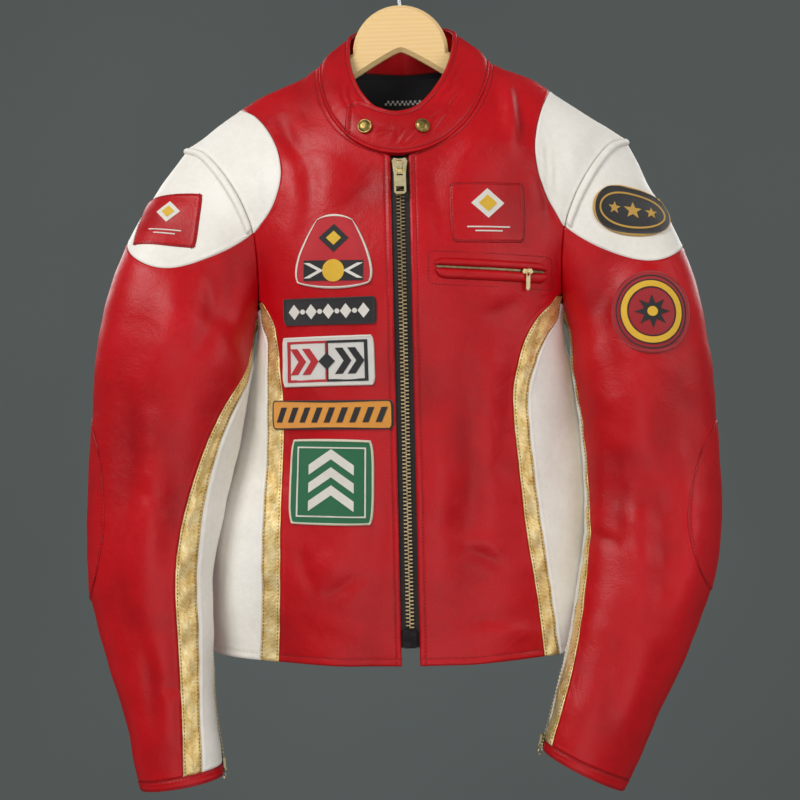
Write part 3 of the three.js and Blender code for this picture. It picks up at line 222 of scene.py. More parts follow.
# Folds of the hanging leather: soft troughs and ridges from one place to another, in millimetres.
# A fold on the body or the sleeves, in front or behind, with its sideways bend, width and height.
FOLDS = {
    # zone and side: x0, z0, x1, z1, bend, width, height
    "body front": [
        (-126, -176, -100, -236, -7, 9, -2.6), (-101, -226, -110, -330, 6, 12, -3.0),
        (-120, -190, -96, -300, -10, 14, 2.0), (-64, -275, -28, -263, 3, 3, -0.8),
        (-60, -268, -33, -258, 2, 3, -0.6), (-70, -282, -36, -272, 3, 3, -0.7),
        (-50, -180, -24, -240, 6, 12, 1.4), (-115, -618, -98, -668, -4, 7, -1.6),
        (-98, -668, -58, -644, -6, 7, -1.8), (-100, -628, -64, -632, -8, 16, 2.2),
        (-120, -690, -60, -712, -6, 9, -1.2), (-40, -560, -52, -690, 8, 14, -1.2),
        (86, -140, 91, -192, 3, 7, -2.8), (111, -156, 117, -222, 4, 8, -3.4),
        (99, -150, 106, -225, 4, 9, 2.6), (128, -232, 146, -330, 6, 8, -2.2),
        (60, -180, 40, -260, 8, 16, 1.6), (20, -240, 28, -330, 4, 10, -1.2),
        (52, -440, 46, -640, 8, 16, -3.0), (78, -400, 72, -600, 6, 18, 2.2),
        (96, -420, 84, -560, 5, 11, -1.6), (20, -470, 26, -660, 4, 15, 1.6),
        (40, -627, 86, -644, 5, 6, -2.0), (48, -616, 90, -630, 5, 9, 1.4),
        (56, -706, 126, -714, 3, 8, 1.4), (34, -694, 110, -690, -5, 9, -1.2),
        (110, -375, 70, -392, 4, 9, -1.4), (141, -215, 140, -272, 2, 3.0, -1.2),
        (149, -225, 148, -280, 2, 3.0, -1.0), (133, -232, 134, -262, 1, 2.6, -0.9),
        (158, -215, 172, -262, 5, 7, 1.0), (-152, -215, -140, -285, 5, 9, 1.0),
        (-185, -470, -158, -560, 4, 12, -1.4), (-196, -600, -178, -720, 4, 14, 1.6),
    ],
    "body back": [
        (-70, -160, -20, -300, 8, 20, -2.2), (80, -170, 40, -320, -8, 20, -2.4),
        (-130, -340, -60, -420, 8, 12, -2.2), (126, -330, 70, -430, -8, 12, -2.4),
        (-40, -420, -60, -640, 10, 18, -2.6), (30, -400, 52, -660, -8, 18, -2.8),
        (-4, -380, 0, -640, 6, 20, 2.2), (-110, -560, -60, -600, 8, 9, -1.8),
        (120, -600, 60, -640, -8, 10, -1.8), (-100, -240, -120, -330, 6, 12, 1.8),
    ],
    "sleeve front": [
        (-238, -330, -262, -450, 12, 16, 2.0), (-200, -330, -214, -430, 8, 10, -2.6),
        (-182, -318, -190, -400, 5, 7, -1.8), (-288, -440, -292, -620, 6, 14, -2.6),
        (-262, -470, -270, -640, 8, 15, 2.2), (-238, -520, -256, -660, 8, 12, -1.8),
        (-300, -600, -272, -720, -6, 12, -1.6), (-252, -746, -230, -752, -3, 5, -1.6),
        (-262, -690, -244, -820, 6, 12, 2.0), (-272, -700, -262, -800, 4, 9, -1.6),
        (-280, -560, -240, -585, 8, 9, -1.2), (196, -350, 205, -480, -6, 12, -2.4),
        (226, -450, 244, -560, -8, 16, 2.0), (240, -560, 232, -690, 8, 14, -3.2),
        (214, -580, 212, -720, 6, 13, 2.2), (270, -560, 256, -690, 6, 13, 2.2),
        (172, -608, 202, -620, -3, 6, -1.6), (196, -520, 190, -640, 6, 10, -2.0),
        (190, -700, 176, -790, 4, 10, -1.8), (222, -700, 190, -800, 6, 12, 1.6),
        (270, -470, 280, -560, 6, 13, -1.6),
    ],
    "sleeve back": [
        (-250, -340, -280, -480, 10, 16, -2.4), (-220, -520, -290, -560, -12, 12, -2.8),
        (-230, -590, -290, -620, -10, 12, -2.4), (-270, -650, -250, -780, 6, 12, 2.0),
        (240, -340, 270, -470, -10, 16, -2.4), (200, -520, 270, -565, 12, 12, -2.8),
        (200, -590, 268, -625, 10, 12, -2.4), (240, -650, 200, -770, -6, 12, 2.0),
    ],
    "collar front": [
        (-10, -219, -2, -205, 1, 1.6, -0.96), (-5, -221, 11, -204, 2, 1.7, -1.1),
        (-2, -223, 20, -211, 2, 1.6, -0.96), (-14, -220, -9, -204, -1, 1.5, -0.8),
        (-31, -208, -13, -202, 1, 1.5, -0.8), (-28, -213, -15, -209, 1, 1.4, -0.72),
        (22, -208, 44, -176, 3, 1.8, -0.96), (28, -209, 52, -182, 3, 1.7, -0.96),
        (16, -207, 34, -184, 2, 1.6, -0.8), (45, -166, 55, -137, 2, 2.0, -0.96),
        (35, -175, 56, -150, 2, 1.8, -1.1), (37, -192, 59, -163, 2, 1.8, -0.96),
        (44, -180, 62, -158, 2, 1.7, -0.8), (50, -150, 60, -128, 1, 1.8, -0.8),
        (-56, -150, -50, -182, -3, 2.2, -0.96), (-64, -150, -58, -178, -3, 2.2, -0.8),
    ],
    "collar back": [
        (-30, -116, -10, -100, 2, 2.2, -0.96), (24, -118, 8, -100, -2, 2.2, -0.96),
    ],
}

# The seams round the armholes and the neck hold the leather: it lies true within this distance.
STEADY = 24
rounds = np.radians(np.arange(0, 360, 3))
ring = [
    on_body(side * armhole_x(turn), armhole_z(turn), face)[0]
    for side in (RIGHT, LEFT) for face in (FRONT, BACK) for turn in np.arange(0, 181, 2.0)
]
for angle in rounds:
    drop = NECK["drop"] * max(math.cos(angle), 0)
    shift = ZIP["x"] * max(math.cos(angle), 0)
    face = BACK if math.cos(angle) < 0 else FRONT
    ring.append(on_body(NECK["half"] * math.sin(angle) + shift, NECK["z"] - drop, face)[0])
held = KDTree(len(ring))
for i, p in enumerate(ring):
    held.insert(p.tolist(), i)
held.balance()

waves = np.random.default_rng(11)
SWELL = [
    (unit(waves.normal(size=3)) * 2 * math.pi / length, waves.uniform(0, 6.3), height)
    for length, height in ((170, 1.1), (120, 0.9), (85, 0.6), (62, 0.32), (47, 0.18), (36, 0.1), (27, 0.07))
    for _ in range(2)
]


FOLD_DEPTH = 1.4


def fold(points, normals, zone):
    """How far the leather stands off its cut shape, in millimetres."""
    swell, lift = np.zeros(points.shape[:-1]), np.zeros(points.shape[:-1])
    for direction, phase, height in SWELL:
        swell += height * np.sin(points @ direction + phase)
    facing = np.clip(0.5 - normals[..., 1] * 2.5, 0, 1)
    xz = points[..., [0, 2]]
    zone_folds = [(face, *sizes) for face in ("front", "back") for sizes in FOLDS[f"{zone} {face}"]]
    for face, x0, z0, x1, z1, bend, width, height in zone_folds:
        start, end = np.array([x0, z0]), np.array([x1, z1])
        run = end - start
        reach = np.linalg.norm(run) / 2 + abs(bend) + 3 * width
        close = np.linalg.norm(xz - (start + end) / 2, axis=-1) < reach
        if not close.any():
            continue
        at_place = xz[close]
        side = np.array([-run[1], run[0]]) / np.linalg.norm(run)
        steps = np.linspace(0, 1, 9)[:, None]
        line = start + steps * run + side * bend * 4 * steps * (1 - steps)
        nearest = np.full(len(at_place), 1e9)
        share = np.zeros(len(at_place))
        for k, leg in enumerate(np.diff(line, axis=0)):
            t = np.clip(((at_place - line[k]) @ leg) / (leg @ leg), 0, 1)
            gap = np.linalg.norm(at_place - line[k] - t[..., None] * leg, axis=-1)
            share = np.where(gap < nearest, (k + t) / (len(line) - 1), share)
            nearest = np.minimum(gap, nearest)
        fade = np.sin(np.pi * np.clip(share, 0.02, 0.98)) ** 0.7
        facet = facing[close] if face == "front" else 1 - facing[close]
        lift[close] += FOLD_DEPTH * height * fade * facet * np.exp(-((nearest / width) ** 2))
    near = np.array([held.find(p)[2] for p in points.reshape(-1, 3).tolist()]).reshape(lift.shape)
    steady = np.clip(near / STEADY, 0, 1) ** 1.5
    return swell * steady + lift * (1 if zone == "collar" else steady)


def to_linear(colour):
    """An sRGB hex colour as linear values."""
    parts = [int(colour[i:i + 2], 16) / 255 for i in (1, 3, 5)]
    return tuple(c / 12.92 if c <= 0.04045 else ((c + 0.055) / 1.055) ** 2.4 for c in parts) + (1,)


def feed(tree, made, links):
    """Sets inputs, by name or place, to a value or to another node's output."""
    for key, value in links.items():
        if isinstance(value, bpy.types.Node):
            value = value.outputs[0]
        if isinstance(value, bpy.types.NodeSocket):
            tree.links.new(value, made.inputs[key])
        else:
            made.inputs[key].default_value = value


def node(tree, kind, links=None, **settings):
    """Adds a node, with its inputs as feed takes them."""
    made = tree.nodes.new(kind)
    for key, value in settings.items():
        setattr(made, key, value)
    feed(tree, made, links or {})
    return made


def finish(name):
    """A new material, its tree, and its shader."""
    material = bpy.data.materials.new(name)
    material.use_nodes = True
    return material, material.node_tree, material.node_tree.nodes["Principled BSDF"]


def spot_of(tree):
    return node(tree, "ShaderNodeTexCoord").outputs["Object"]


def noise(tree, place, scale, detail, roughness=0.5, distortion=0):
    values = {"Vector": place, "Scale": scale, "Detail": detail}
    values |= {"Roughness": roughness, "Distortion": distortion}
    return node(tree, "ShaderNodeTexNoise", values).outputs["Fac"]


def ribs(tree, place, scale, direction, distortion=0):
    values = {"Vector": place, "Scale": scale, "Distortion": distortion}
    return node(tree, "ShaderNodeTexWave", values, bands_direction=direction).outputs["Fac"]


def joined(tree, first, second, operation="ADD"):
    return node(tree, "ShaderNodeMath", {0: first, 1: second}, operation=operation).outputs[0]


def spread(tree, value, low=0, high=1, start=0, end=1):
    """A value that ran from start to end, run from low to high."""
    values = {"Value": value, "From Min": start, "From Max": end, "To Min": low, "To Max": high}
    return node(tree, "ShaderNodeMapRange", values).outputs[0]


def blend(tree, share, first, second):
    """A colour between two, each a hex colour or an output."""
    first, second = (to_linear(c) if isinstance(c, str) else c for c in (first, second))
    return node(tree, "ShaderNodeMix", {"Factor": share, 6: first, 7: second}, data_type="RGBA").outputs[2]


def scaled(tree, colour, amount):
    return node(tree, "ShaderNodeVectorMath", {0: colour, "Scale": amount}, operation="SCALE").outputs[0]


def ramp(tree, value, first, last, *between):
    """A colour looked up by a value. Each stop is a position and a hex colour."""
    made = node(tree, "ShaderNodeValToRGB", {0: value})
    stops = made.color_ramp.elements
    for stop, (position, colour) in zip(stops, (first, last)):
        stop.color, stop.position = to_linear(colour), position
    for position, colour in between:
        stops.new(position).color = to_linear(colour)
    return made.outputs["Color"]


def bumped(tree, height, distance, **more):
    """Relief of a height in millimetres."""
    return node(tree, "ShaderNodeBump", {"Height": height, "Distance": distance * MM, **more})


def hide(name, colour, deep, pale, roughness, seam_shade_tone, pebble=1.1, relief=0.12):
    """Chrome-tanned leather with a drum dye and a lightly coated grain: a satin gloss that mottles over
    the hand, fine pebble of about a millimetre, painted shade in its fold troughs and along its seams,
    and a painted highlight on its fold ridges."""
    material, tree, shader = finish(name)
    place = spot_of(tree)
    cloud = noise(tree, place, 14, 4, 0.6)
    fleck = noise(tree, place, 160, 5, 0.7)
    cell = node(tree, "ShaderNodeTexVoronoi", {"Vector": place, "Scale": 1000 / pebble}, feature="F1")
    folded, rim = (
        node(tree, "ShaderNodeAttribute", attribute_name=key).outputs["Fac"] for key in ("fold", "rim")
    )
    # Colour from deep to pale by a random mottle and by the fold height: painted shade in fold troughs,
    # painted highlight on fold ridges.
    shade = spread(tree, joined(tree, cloud, folded), start=-0.2, end=1.2)
    dye_and_fold_shade = ramp(tree, shade, (0.12, deep), (0.95, pale), (0.5, colour))
    # Painted shade along the seams: within 1.6 mm of a panel's edge the colour darkens, most at the edge.
    seam = spread(tree, rim, seam_shade_tone, 1, end=1.6)
    worn = spread(tree, fleck, 0.9, 1.08)
    crease = bumped(tree, noise(tree, place, 30, 9, 0.6, 1.4), 2, Strength=0.35)
    grain = joined(tree, cell.outputs["Distance"], fleck)
    feed(tree, shader, {
        "Base Color": scaled(tree, dye_and_fold_shade, joined(tree, seam, worn, "MULTIPLY")),
        "Roughness": spread(tree, fleck, roughness - 0.05, roughness + 0.08, 0.3, 0.7),
        "Normal": bumped(tree, grain, relief, Normal=crease),
        "Specular IOR Level": 0.27,
    })
    return material


# Each leather: colour, the deep and pale ends of its mottle and painted fold shade, roughness, and how dark
# its painted seam shade is.
red_leather = hide("red_cowhide", "#b80510", "#8a0209", "#cc1420", 0.34, 0.62)
white_leather = hide("white_cowhide", "#efeae0", "#dcd6ca", "#f7f4ee", 0.42, 0.82, relief=0.09)

# The body lining is black polyester twill, seen where the eye looks up or down into the jacket.
black_lining, tree, shader = finish("black_polyester_twill")
place = spot_of(tree)
feed(tree, shader, {
    "Base Color": blend(tree, noise(tree, place, 40, 4), "#101012", "#26262a"),
    "Normal": bumped(tree, ribs(tree, place, 260, "DIAGONAL", 1.5), 0.15),
    "Roughness": 0.7,
    "Sheen Weight": 0.2,
})

EDGE_STEPS = np.array([0, 0.5, 1.1, 1.8, 2.6, 3.5, 4.4, 5.3, 6.2, 7.2, 8.5, 10.5])
CELL = 4.2


def crowded(lengths, cells):
    """Distances along a panel that crowd where its edges roll under, for each of several lengths."""
    lengths = np.asarray(lengths, float)[:, None]
    scale = np.minimum(1, 0.45 * lengths / EDGE_STEPS[-1])
    start = EDGE_STEPS * scale
    end = lengths - start[:, ::-1]
    middle = start[:, -1:] + (end[:, :1] - start[:, -1:]) * np.linspace(0, 1, cells + 1)[1:-1]
    return np.concatenate([start, middle, end], axis=1)


def lengths_along(points, axis):
    """Distance run along each line of a grid of points."""
    steps = np.linalg.norm(np.diff(points, axis=axis), axis=-1)
    shape = list(steps.shape)
    shape[axis] = 1
    return np.concatenate([np.zeros(shape), np.cumsum(steps, axis=axis)], axis=axis)


def cut_grid(place, closed=False, keys=(), cell=CELL):
    """Shares across and down a panel, so spaced that its edges are fine and its middle is even. A row
    runs through each key share."""
    dense = np.linspace(0, 1, 241)
    line = lengths_along(place(np.full(241, 0.5), dense)[0], 0)
    down = crowded([line[-1]], max(int(line[-1] / cell) - 4, 2))[0]
    v = np.interp(down, line, dense)
    for key in keys:
        v[np.abs(v - key).argmin()] = key
    rows = lengths_along(place(*np.broadcast_arrays(dense[None, :], v[:, None]))[0], 1)
    widest = rows[:, -1].max()
    if closed:
        u = np.broadcast_to(np.linspace(0, 1, int(widest / cell) + 1), (len(v), int(widest / cell) + 1))
    else:
        across = crowded(np.maximum(rows[:, -1], 0.5), max(int(widest / cell) - 4, 2))
        u = np.array([np.interp(a, row, dense) for a, row in zip(across, rows)])
    return u, np.broadcast_to(v[:, None], u.shape)


def shell(outer, inner, closed=False):
    """Vertices and faces of a closed wall between two grids of points."""
    rows, columns = outer.shape[:2]
    index = np.arange(rows * columns).reshape(rows, columns)
    if closed:
        index = np.concatenate([index[:, :-1], index[:, :1]], axis=1)
    back = index + rows * columns
    quads = [
        np.stack([index[:-1, :-1], index[1:, :-1], index[1:, 1:], index[:-1, 1:]], -1).reshape(-1, 4),
        np.stack([back[:-1, :-1], back[:-1, 1:], back[1:, 1:], back[1:, :-1]], -1).reshape(-1, 4),
        np.stack([index[0, :-1], index[0, 1:], back[0, 1:], back[0, :-1]], -1),
        np.stack([index[-1, :-1], back[-1, :-1], back[-1, 1:], index[-1, 1:]], -1),
    ]
    if not closed:
        quads += [
            np.stack([index[:-1, 0], back[:-1, 0], back[1:, 0], index[1:, 0]], -1),
            np.stack([index[:-1, -1], index[1:, -1], back[1:, -1], back[:-1, -1]], -1),
        ]
    counts = [len(q) for q in quads]
    return np.concatenate([outer.reshape(-1, 3), inner.reshape(-1, 3)]), np.concatenate(quads), counts


def piece(name, vertices, faces, materials, slots=None, attributes=None, uv=None):
    """A mesh object from millimetre vertices, facing outwards, with smooth faces."""
    mesh = bpy.data.meshes.new(name)
    used = np.unique(faces)
    renumber = np.full(len(vertices), -1)
    renumber[used] = np.arange(len(used))
    mesh.from_pydata((vertices[used] * MM).tolist(), [], renumber[faces].tolist())
    for key, values in (attributes or {}).items():
        layer = mesh.attributes.new(key, "FLOAT", "POINT")
        layer.data.foreach_set("value", np.asarray(values, float)[used])
    if uv is not None:
        layer = mesh.uv_layers.new(name="UVMap")
        loops = np.empty(len(mesh.loops), int)
        mesh.loops.foreach_get("vertex_index", loops)
        layer.data.foreach_set("uv", (uv[used][loops] * MM).ravel())
    for material in materials:
        mesh.materials.append(material)
    if slots is not None:
        mesh.polygons.foreach_set("material_index", np.asarray(slots, np.int32))
    mesh.polygons.foreach_set("use_smooth", np.ones(len(mesh.polygons), bool))
    volume = bmesh.new()
    volume.from_mesh(mesh)
    if volume.calc_volume(signed=True) < 0:
        bmesh.ops.reverse_faces(volume, faces=volume.faces)
        volume.to_mesh(mesh)
    volume.free()
    mesh.validate()
    return placed(name, mesh)


SEWN = {}


def line_at(points, normals, runs, distance):
    """The line at a distance along every line of a grid, from its first edge."""
    along = []
    for p, n, run in zip(points, normals, runs):
        if run[-1] < abs(distance) * 1.5:
            continue
        at = distance if distance > 0 else run[-1] + distance
        along.append([np.interp(at, run, column) for column in (*p.T, *n.T)])
    return np.array(along)


def all_round(width):
    return dict.fromkeys(("left", "right", "top", "bottom"), width)


def panel(name, place, zone, material, node_name, sewn=None, wall=LEATHER, closed=False, stand=0,
          roll=0.6, crumple=0, piped=None, puff=0, keys=(), inside=None, cell=CELL):
    """A cut piece of leather or cloth, named for the node that it stands for: its folds, its edges
    rolled under, and a groove where it is sewn. Sewn gives each edge's distance to its stitches."""
    u, v = cut_grid(place, closed, keys, cell)
    flat, normals = place(u, v)
    across, down = lengths_along(flat, 1), lengths_along(flat, 0)
    left, right = across, across[:, -1:] - across
    top, bottom = down, down[-1:] - down
    edges = {"left": left, "right": right, "top": top, "bottom": bottom}
    if closed:
        edges = {"top": top, "bottom": bottom}
    rim = np.minimum.reduce(list(edges.values()))
    lift = fold(flat, normals, zone)
    relief = -roll * np.exp(-((rim / 1.0) ** 2)) + 0.3 * np.exp(-(((rim - 2.6) / 1.5) ** 2))
    for edge, distance in (sewn or {}).items():
        relief -= 0.45 * np.exp(-(((edges[edge] - distance) / 0.8) ** 2))
    if crumple:
        for direction, phase, height in SWELL:
            relief += crumple * height * np.sin(flat @ (direction * 7) + phase * 3)
    pucker = 0.22 * np.sin(down / 3.1 + 2 * np.sin(down / 17)) * np.exp(-np.minimum(left, right) / 6)
    pucker += 0.22 * np.sin(across / 3.3 + 2 * np.sin(across / 19)) * np.exp(-np.minimum(top, bottom) / 6)
    if puff:
        relief += puff * np.abs(np.sin(np.pi * top / np.maximum(top + bottom, 0.1))) ** 0.7
    for edge, width in (piped or {}).items():
        relief += 0.9 * np.exp(-(((edges[edge] - width / 2) / (width * 0.42)) ** 4))
    outer = flat + normals * (lift + relief + pucker * (rim > 0.2) + stand)[..., None]
    inner = flat + normals * (lift - wall + stand)[..., None]
    if closed:
        outer[:, -1], inner[:, -1] = outer[:, 0], inner[:, 0]
    vertices, faces, counts = shell(outer, inner, closed)
    lining = np.zeros(len(faces))
    lining[counts[0]:counts[0] + counts[1]] = 1
    twice = lambda grid: np.concatenate([grid.ravel(), grid.ravel()])
    uv = np.stack([twice(across), twice(down)], axis=-1)
    # Fold height and distance to the edge: for the leathers' painted fold shade and highlight and painted
    # seam shade, and for the patches' edge colour.
    attributes = {"fold": twice(lift * 0.05), "rim": twice(np.clip(rim, 0, 30))}
    made = piece(name, vertices, faces, [material, inside or black_lining], lining, attributes, uv)
    area = 0
    for corner in (flat[:-1, :-1], flat[1:, 1:]):
        a, b, c = corner, flat[1:, :-1], flat[:-1, 1:]
        area += np.linalg.norm(np.cross(b - a, c - a), axis=-1).sum() / 2
    area *= MM * MM
    length = max(float(down[-1].max() * MM), 0.0101)
    width = float(min(across[:, -1].max() * MM, area / (0.45 * length)))
    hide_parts(node_name)
    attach(made, "jacket")
    area = float(min(area, width * length))
    for edge, distance in (sewn or {}).items():
        reach = distance if edge in ("left", "top") else -distance
        if edge in ("left", "right"):
            path = line_at(outer, normals, across, reach)
        else:
            path = line_at(outer.transpose(1, 0, 2), normals.transpose(1, 0, 2), down.T, reach)
        if len(path) > 2:
            SEWN.setdefault(node_name, []).append(path)


def neck_x(side, z):
    forward = np.clip((NECK["z"] - z) / NECK["drop"], 0, 1)
    neck = side * NECK["half"] * np.sqrt(1 - forward**2) + ZIP["x"] * forward
    edge = ZIP["x"] + side * ZIP["gap"] / 2
    return np.where(z > FRONT_NECK, side * np.maximum(side * neck, side * edge), edge)


def row_end(side, z, below):
    """Where a row of a body panel ends: at the shoulder, the cap, the armhole, or a seam."""
    cap = np.where(z >= CAP_TOP[side], shoulder_x(z), smooth(CAP_EDGE, "z", NAMES[side])(z))
    hole = armhole_x(armhole_turn(z))
    return np.where(z >= CAP_CORNER, cap, np.where(z > STRIPE_TOP, hole, below(z)))


for side in (RIGHT, LEFT):
    stripe_in = smooth(STRIPE, "z", NAMES[side] + "_in")

    def front(u, v, side=side, stripe_in=stripe_in):
        z = FRONT_TOP + v * (HEM - FRONT_TOP)
        start = neck_x(side, z)
        end = side * row_end(side, z, stripe_in)
        return on_body(start + u * (end - start), z, FRONT)

    keys = [(z - FRONT_TOP) / (HEM - FRONT_TOP) for z in (CAP_TOP[side], CAP_CORNER, STRIPE_TOP)]
    panel(
        f"front_panel_{NAMES[side]}", front, "body", red_leather, f"front_{NAMES[side]}",
        sewn={"left": 6, "bottom": 7.2}, keys=keys,
    )

# Back: one piece of the same cowhide from side seam to side seam.
def back(u, v):
    right_z = NECK["z"] + v * (HEM - NECK["z"])
    left_z = right_z + np.interp(-right_z, [-NECK["z"], 168.9, 218.2], [0, 12.9, 0])

    def end(side, z):
        hole = np.where(z < STRIPE_TOP, armhole_x(armhole_turn(z)), row_end(side, z, body_side[side]))
        return np.where(z > ARMPIT, hole, body_side[side](z))

    t = (1 + np.sin((u - 0.5) * np.pi)) / 2
    start, stop = -end(RIGHT, right_z), end(LEFT, left_z)
    return on_body(start + t * (stop - start), right_z + t * (left_z - right_z), BACK)


panel(
    "back_panel", back, "body", red_leather, "back", sewn={"bottom": 7.2},
    keys=[(z - NECK["z"]) / (HEM - NECK["z"]) for z in (CAP_TOP[RIGHT], CAP_CORNER, ARMPIT)],
)

# Stripes: strips of the same weight of cowhide with a crinkled gold foil, beside the side panels of
# white cowhide. They are sewn edge to edge and turned to the inside.
gold_foil, tree, shader = finish("crinkled_gold_foil_on_leather")
uv = node(tree, "ShaderNodeUVMap", uv_map="UVMap")
slanted = node(tree, "ShaderNodeMapping", {0: uv, "Rotation": (0, 0, math.radians(-24))})
drawn = node(tree, "ShaderNodeMapping", {0: slanted, "Scale": (190, 1050, 1)})
crinkle = noise(tree, drawn, 1, 5, 0.62, 0.7)
# The foil's colour follows the crinkle that also raises its bump: painted highlight on the raised crinkles
# and painted shade between them, over a random tone.
shade = spread(tree, joined(tree, crinkle, noise(tree, uv, 60, 4, 0.6)), start=0.68, end=1.2)
feed(tree, shader, {
    "Base Color": ramp(tree, shade, (0, "#a37835"), (1, "#fdeab4"), (0.45, "#e2bd70")),
    "Normal": bumped(tree, crinkle, 0.5),
    "Metallic": 0.6,
    "Roughness": 0.36,
})

for side in (RIGHT, LEFT):
    stripe_in, stripe_out = (smooth(STRIPE, "z", NAMES[side] + end) for end in ("_in", "_out"))

    def stripe(u, v, side=side, stripe_in=stripe_in, stripe_out=stripe_out):
        z = STRIPE_TOP + v * (HEM - STRIPE_TOP)
        out = np.minimum(stripe_out(z), np.where(z > -385, armhole_x(armhole_turn(z)), 999))
        return on_body(side * (stripe_in(z) + u * (out - stripe_in(z))), z, FRONT)

    def side_piece(u, v, side=side, stripe_out=stripe_out):
        z = SIDE_TOP + v * (HEM - SIDE_TOP)
        out = np.where(z > ARMPIT, armhole_x(armhole_turn(z)), body_side[side](z))
        start = np.minimum(stripe_out(z), out - 0.5)
        return on_body(side * (start + np.sin(u * np.pi / 2) * (out - start)), z, FRONT)

    panel(
        f"body_stripe_{NAMES[side]}", stripe, "body", gold_foil, f"stripe_{NAMES[side]}",
        sewn={"left": 2, "right": 2}, crumple=0.25,
    )
    panel(
        f"side_panel_{NAMES[side]}", side_piece, "body", white_leather, f"side_{NAMES[side]}",
        sewn={"bottom": 7.2},
    )

# Shoulder caps of white cowhide, each one piece over the shoulder from front to back.
for side in (RIGHT, LEFT):
    cap_edge = smooth(CAP_EDGE, "z", NAMES[side])

    def shoulder_cap(u, v, side=side, cap_edge=cap_edge):
        w = 2 * v - 1
        share = w * w
        z0 = CAP_TOP[side] + share * (CAP_CORNER - CAP_TOP[side])
        turn = CAP_TURN * (CAP_TOP[side] - z0) / (CAP_TOP[side] - CAP_CORNER)
        x0 = np.where(share < 1e-6, shoulder_x(z0), cap_edge(z0))
        x = x0 + u * (armhole_x(turn) - x0)
        z = z0 + u * (armhole_z(turn) - z0)
        z = z + (shoulder_line(x) - z) * np.clip(1 - np.abs(w) / 0.15, 0, 1) ** 2
        p, n = on_body(side * x, z, np.where(w < 0, BACK, FRONT))
        over = np.clip(np.abs(w) / 0.12, 0, 1)
        p[..., 1] *= np.where(np.abs(w) < 1e-6, 0, 1)
        n[..., 1] *= over
        return p, unit(n)

    panel(
        f"white_shoulder_cap_{NAMES[side]}", shoulder_cap, "body", white_leather,
        f"shoulder_cap_{NAMES[side]}", keys=[0.5],
    )

# Sleeves: pre-curved, in four pieces each. A white cap, a red main panel round the outside, a foil
# stripe down the front seam and a white panel under the arm.
SLEEVE_COLUMNS = "out_x out_z in_x in_z mid_y half_y seam foil"
SLEEVE = {
    RIGHT: table(
        SLEEVE_COLUMNS,
        (267, -260, 164, -411, -16, 47, 174, 188),
        (296, -322, 165, -444, -32, 46, 163, 177),
        (316, -401, 169, -478, -38, 45, 144, 157),
        (327, -487, 178, -523, -42, 44, 129, 143),
        (332, -580, 197, -585, -46, 41, 122, 141),
        (327, -655, 209, -640, -52, 38, 120, 146),
        (312, -734, 207, -711, -60, 34, 117, 145),
        (291, -800, 204, -780, -70, 30, 110, 137),
        (278, -855, 199, -843, -76, 27, 99, 128),
    ),
    LEFT: table(
        SLEEVE_COLUMNS,
        (260, -272, 165, -411, -15, 47, 172, 186),
        (284, -336, 166, -449, -29, 46, 177, 190),
        (301, -415, 169, -489, -37, 45, 179, 191),
        (309, -502, 173, -535, -43, 44, 177, 191),
        (308, -588, 174, -593, -51, 41, 170, 191),
        (296, -657, 167, -649, -62, 38, 164, 189),
        (270, -729, 151, -711, -78, 34, 157, 187),
        (232, -797, 134, -768, -90, 30, 151, 186),
        (197, -861, 119, -820, -96, 27, 150, 186),
    ),
}
SEAM_TOP, FOIL_TOP, BACK_SEAM = 171, 185, -155
SLEEVE_CAP = {RIGHT: {"along": 1.75, "dip": 0.2}, LEFT: {"along": 1.83, "dip": 0}}
CUFF_START, SLEEVE_END = 8.82, 9


def sleeve_ring(side, turn, row):
    """Points of the sleeve's rings at a turn: the armhole is row 0, and the table has the others."""
    at = {key: value[np.clip(row, 1, SLEEVE_END).astype(int) - 1] for key, value in SLEEVE[side].items()}
    c, s = np.cos(np.radians(turn)), np.sin(np.radians(turn))
    arm = np.stack([
        side * ((at["out_x"] + at["in_x"]) + c * (at["out_x"] - at["in_x"])) / 2,
        at["mid_y"] - at["half_y"] * s,
        ((at["out_z"] + at["in_z"]) + c * (at["out_z"] - at["in_z"])) / 2,
    ], axis=-1)
    top = np.broadcast_to(row <= 0, arm.shape[:-1])
    if top.any():
        turned_to = (np.broadcast_to(turn, top.shape)[top] + 180) % 360 - 180
        t = np.abs(turned_to)
        arm[top] = on_body(side * armhole_x(t), armhole_z(t), np.where(turned_to < 0, BACK, FRONT))[0]
    return arm


def sleeve_point(side, turn, along):
    i = np.clip(np.floor(along), 0, SLEEVE_END - 1)
    a, b, c, d = (sleeve_ring(side, turn, i + k) for k in (-1, 0, 1, 2))
    a = np.where((i == 0)[..., None], 2 * b - c, a)
    d = np.where((i == SLEEVE_END - 1)[..., None], 2 * c - b, d)
    t = (along - i)[..., None]
    return (
        a * (-t * (1 - t) ** 2 / 2) + b * (1 + t * t * (3 * t - 5) / 2)
        + c * (t * (1 + 4 * t - 3 * t * t) / 2) + d * (-t * t * (1 - t) / 2)
    )


def on_sleeve(side, turn, along):
    turn, along = np.broadcast_arrays(np.asarray(turn, float), np.asarray(along, float))
    s = np.clip(along, 0.04, SLEEVE_END - 0.04)
    round_it = sleeve_point(side, turn + 2, s) - sleeve_point(side, turn - 2, s)
    down = sleeve_point(side, turn, s + 0.03) - sleeve_point(side, turn, s - 0.03)
    return sleeve_point(side, turn, along), side * unit(np.cross(round_it, down))


def seam_turn(side, along, name, top):
    rows = {"row": np.arange(SLEEVE_END + 1.0), "turn": np.concatenate([[top], SLEEVE[side][name]])}
    return smooth(rows, "row", "turn")(along)


def main_turn(side, share, along):
    return BACK_SEAM + share * (seam_turn(side, along, "seam", SEAM_TOP) - BACK_SEAM)


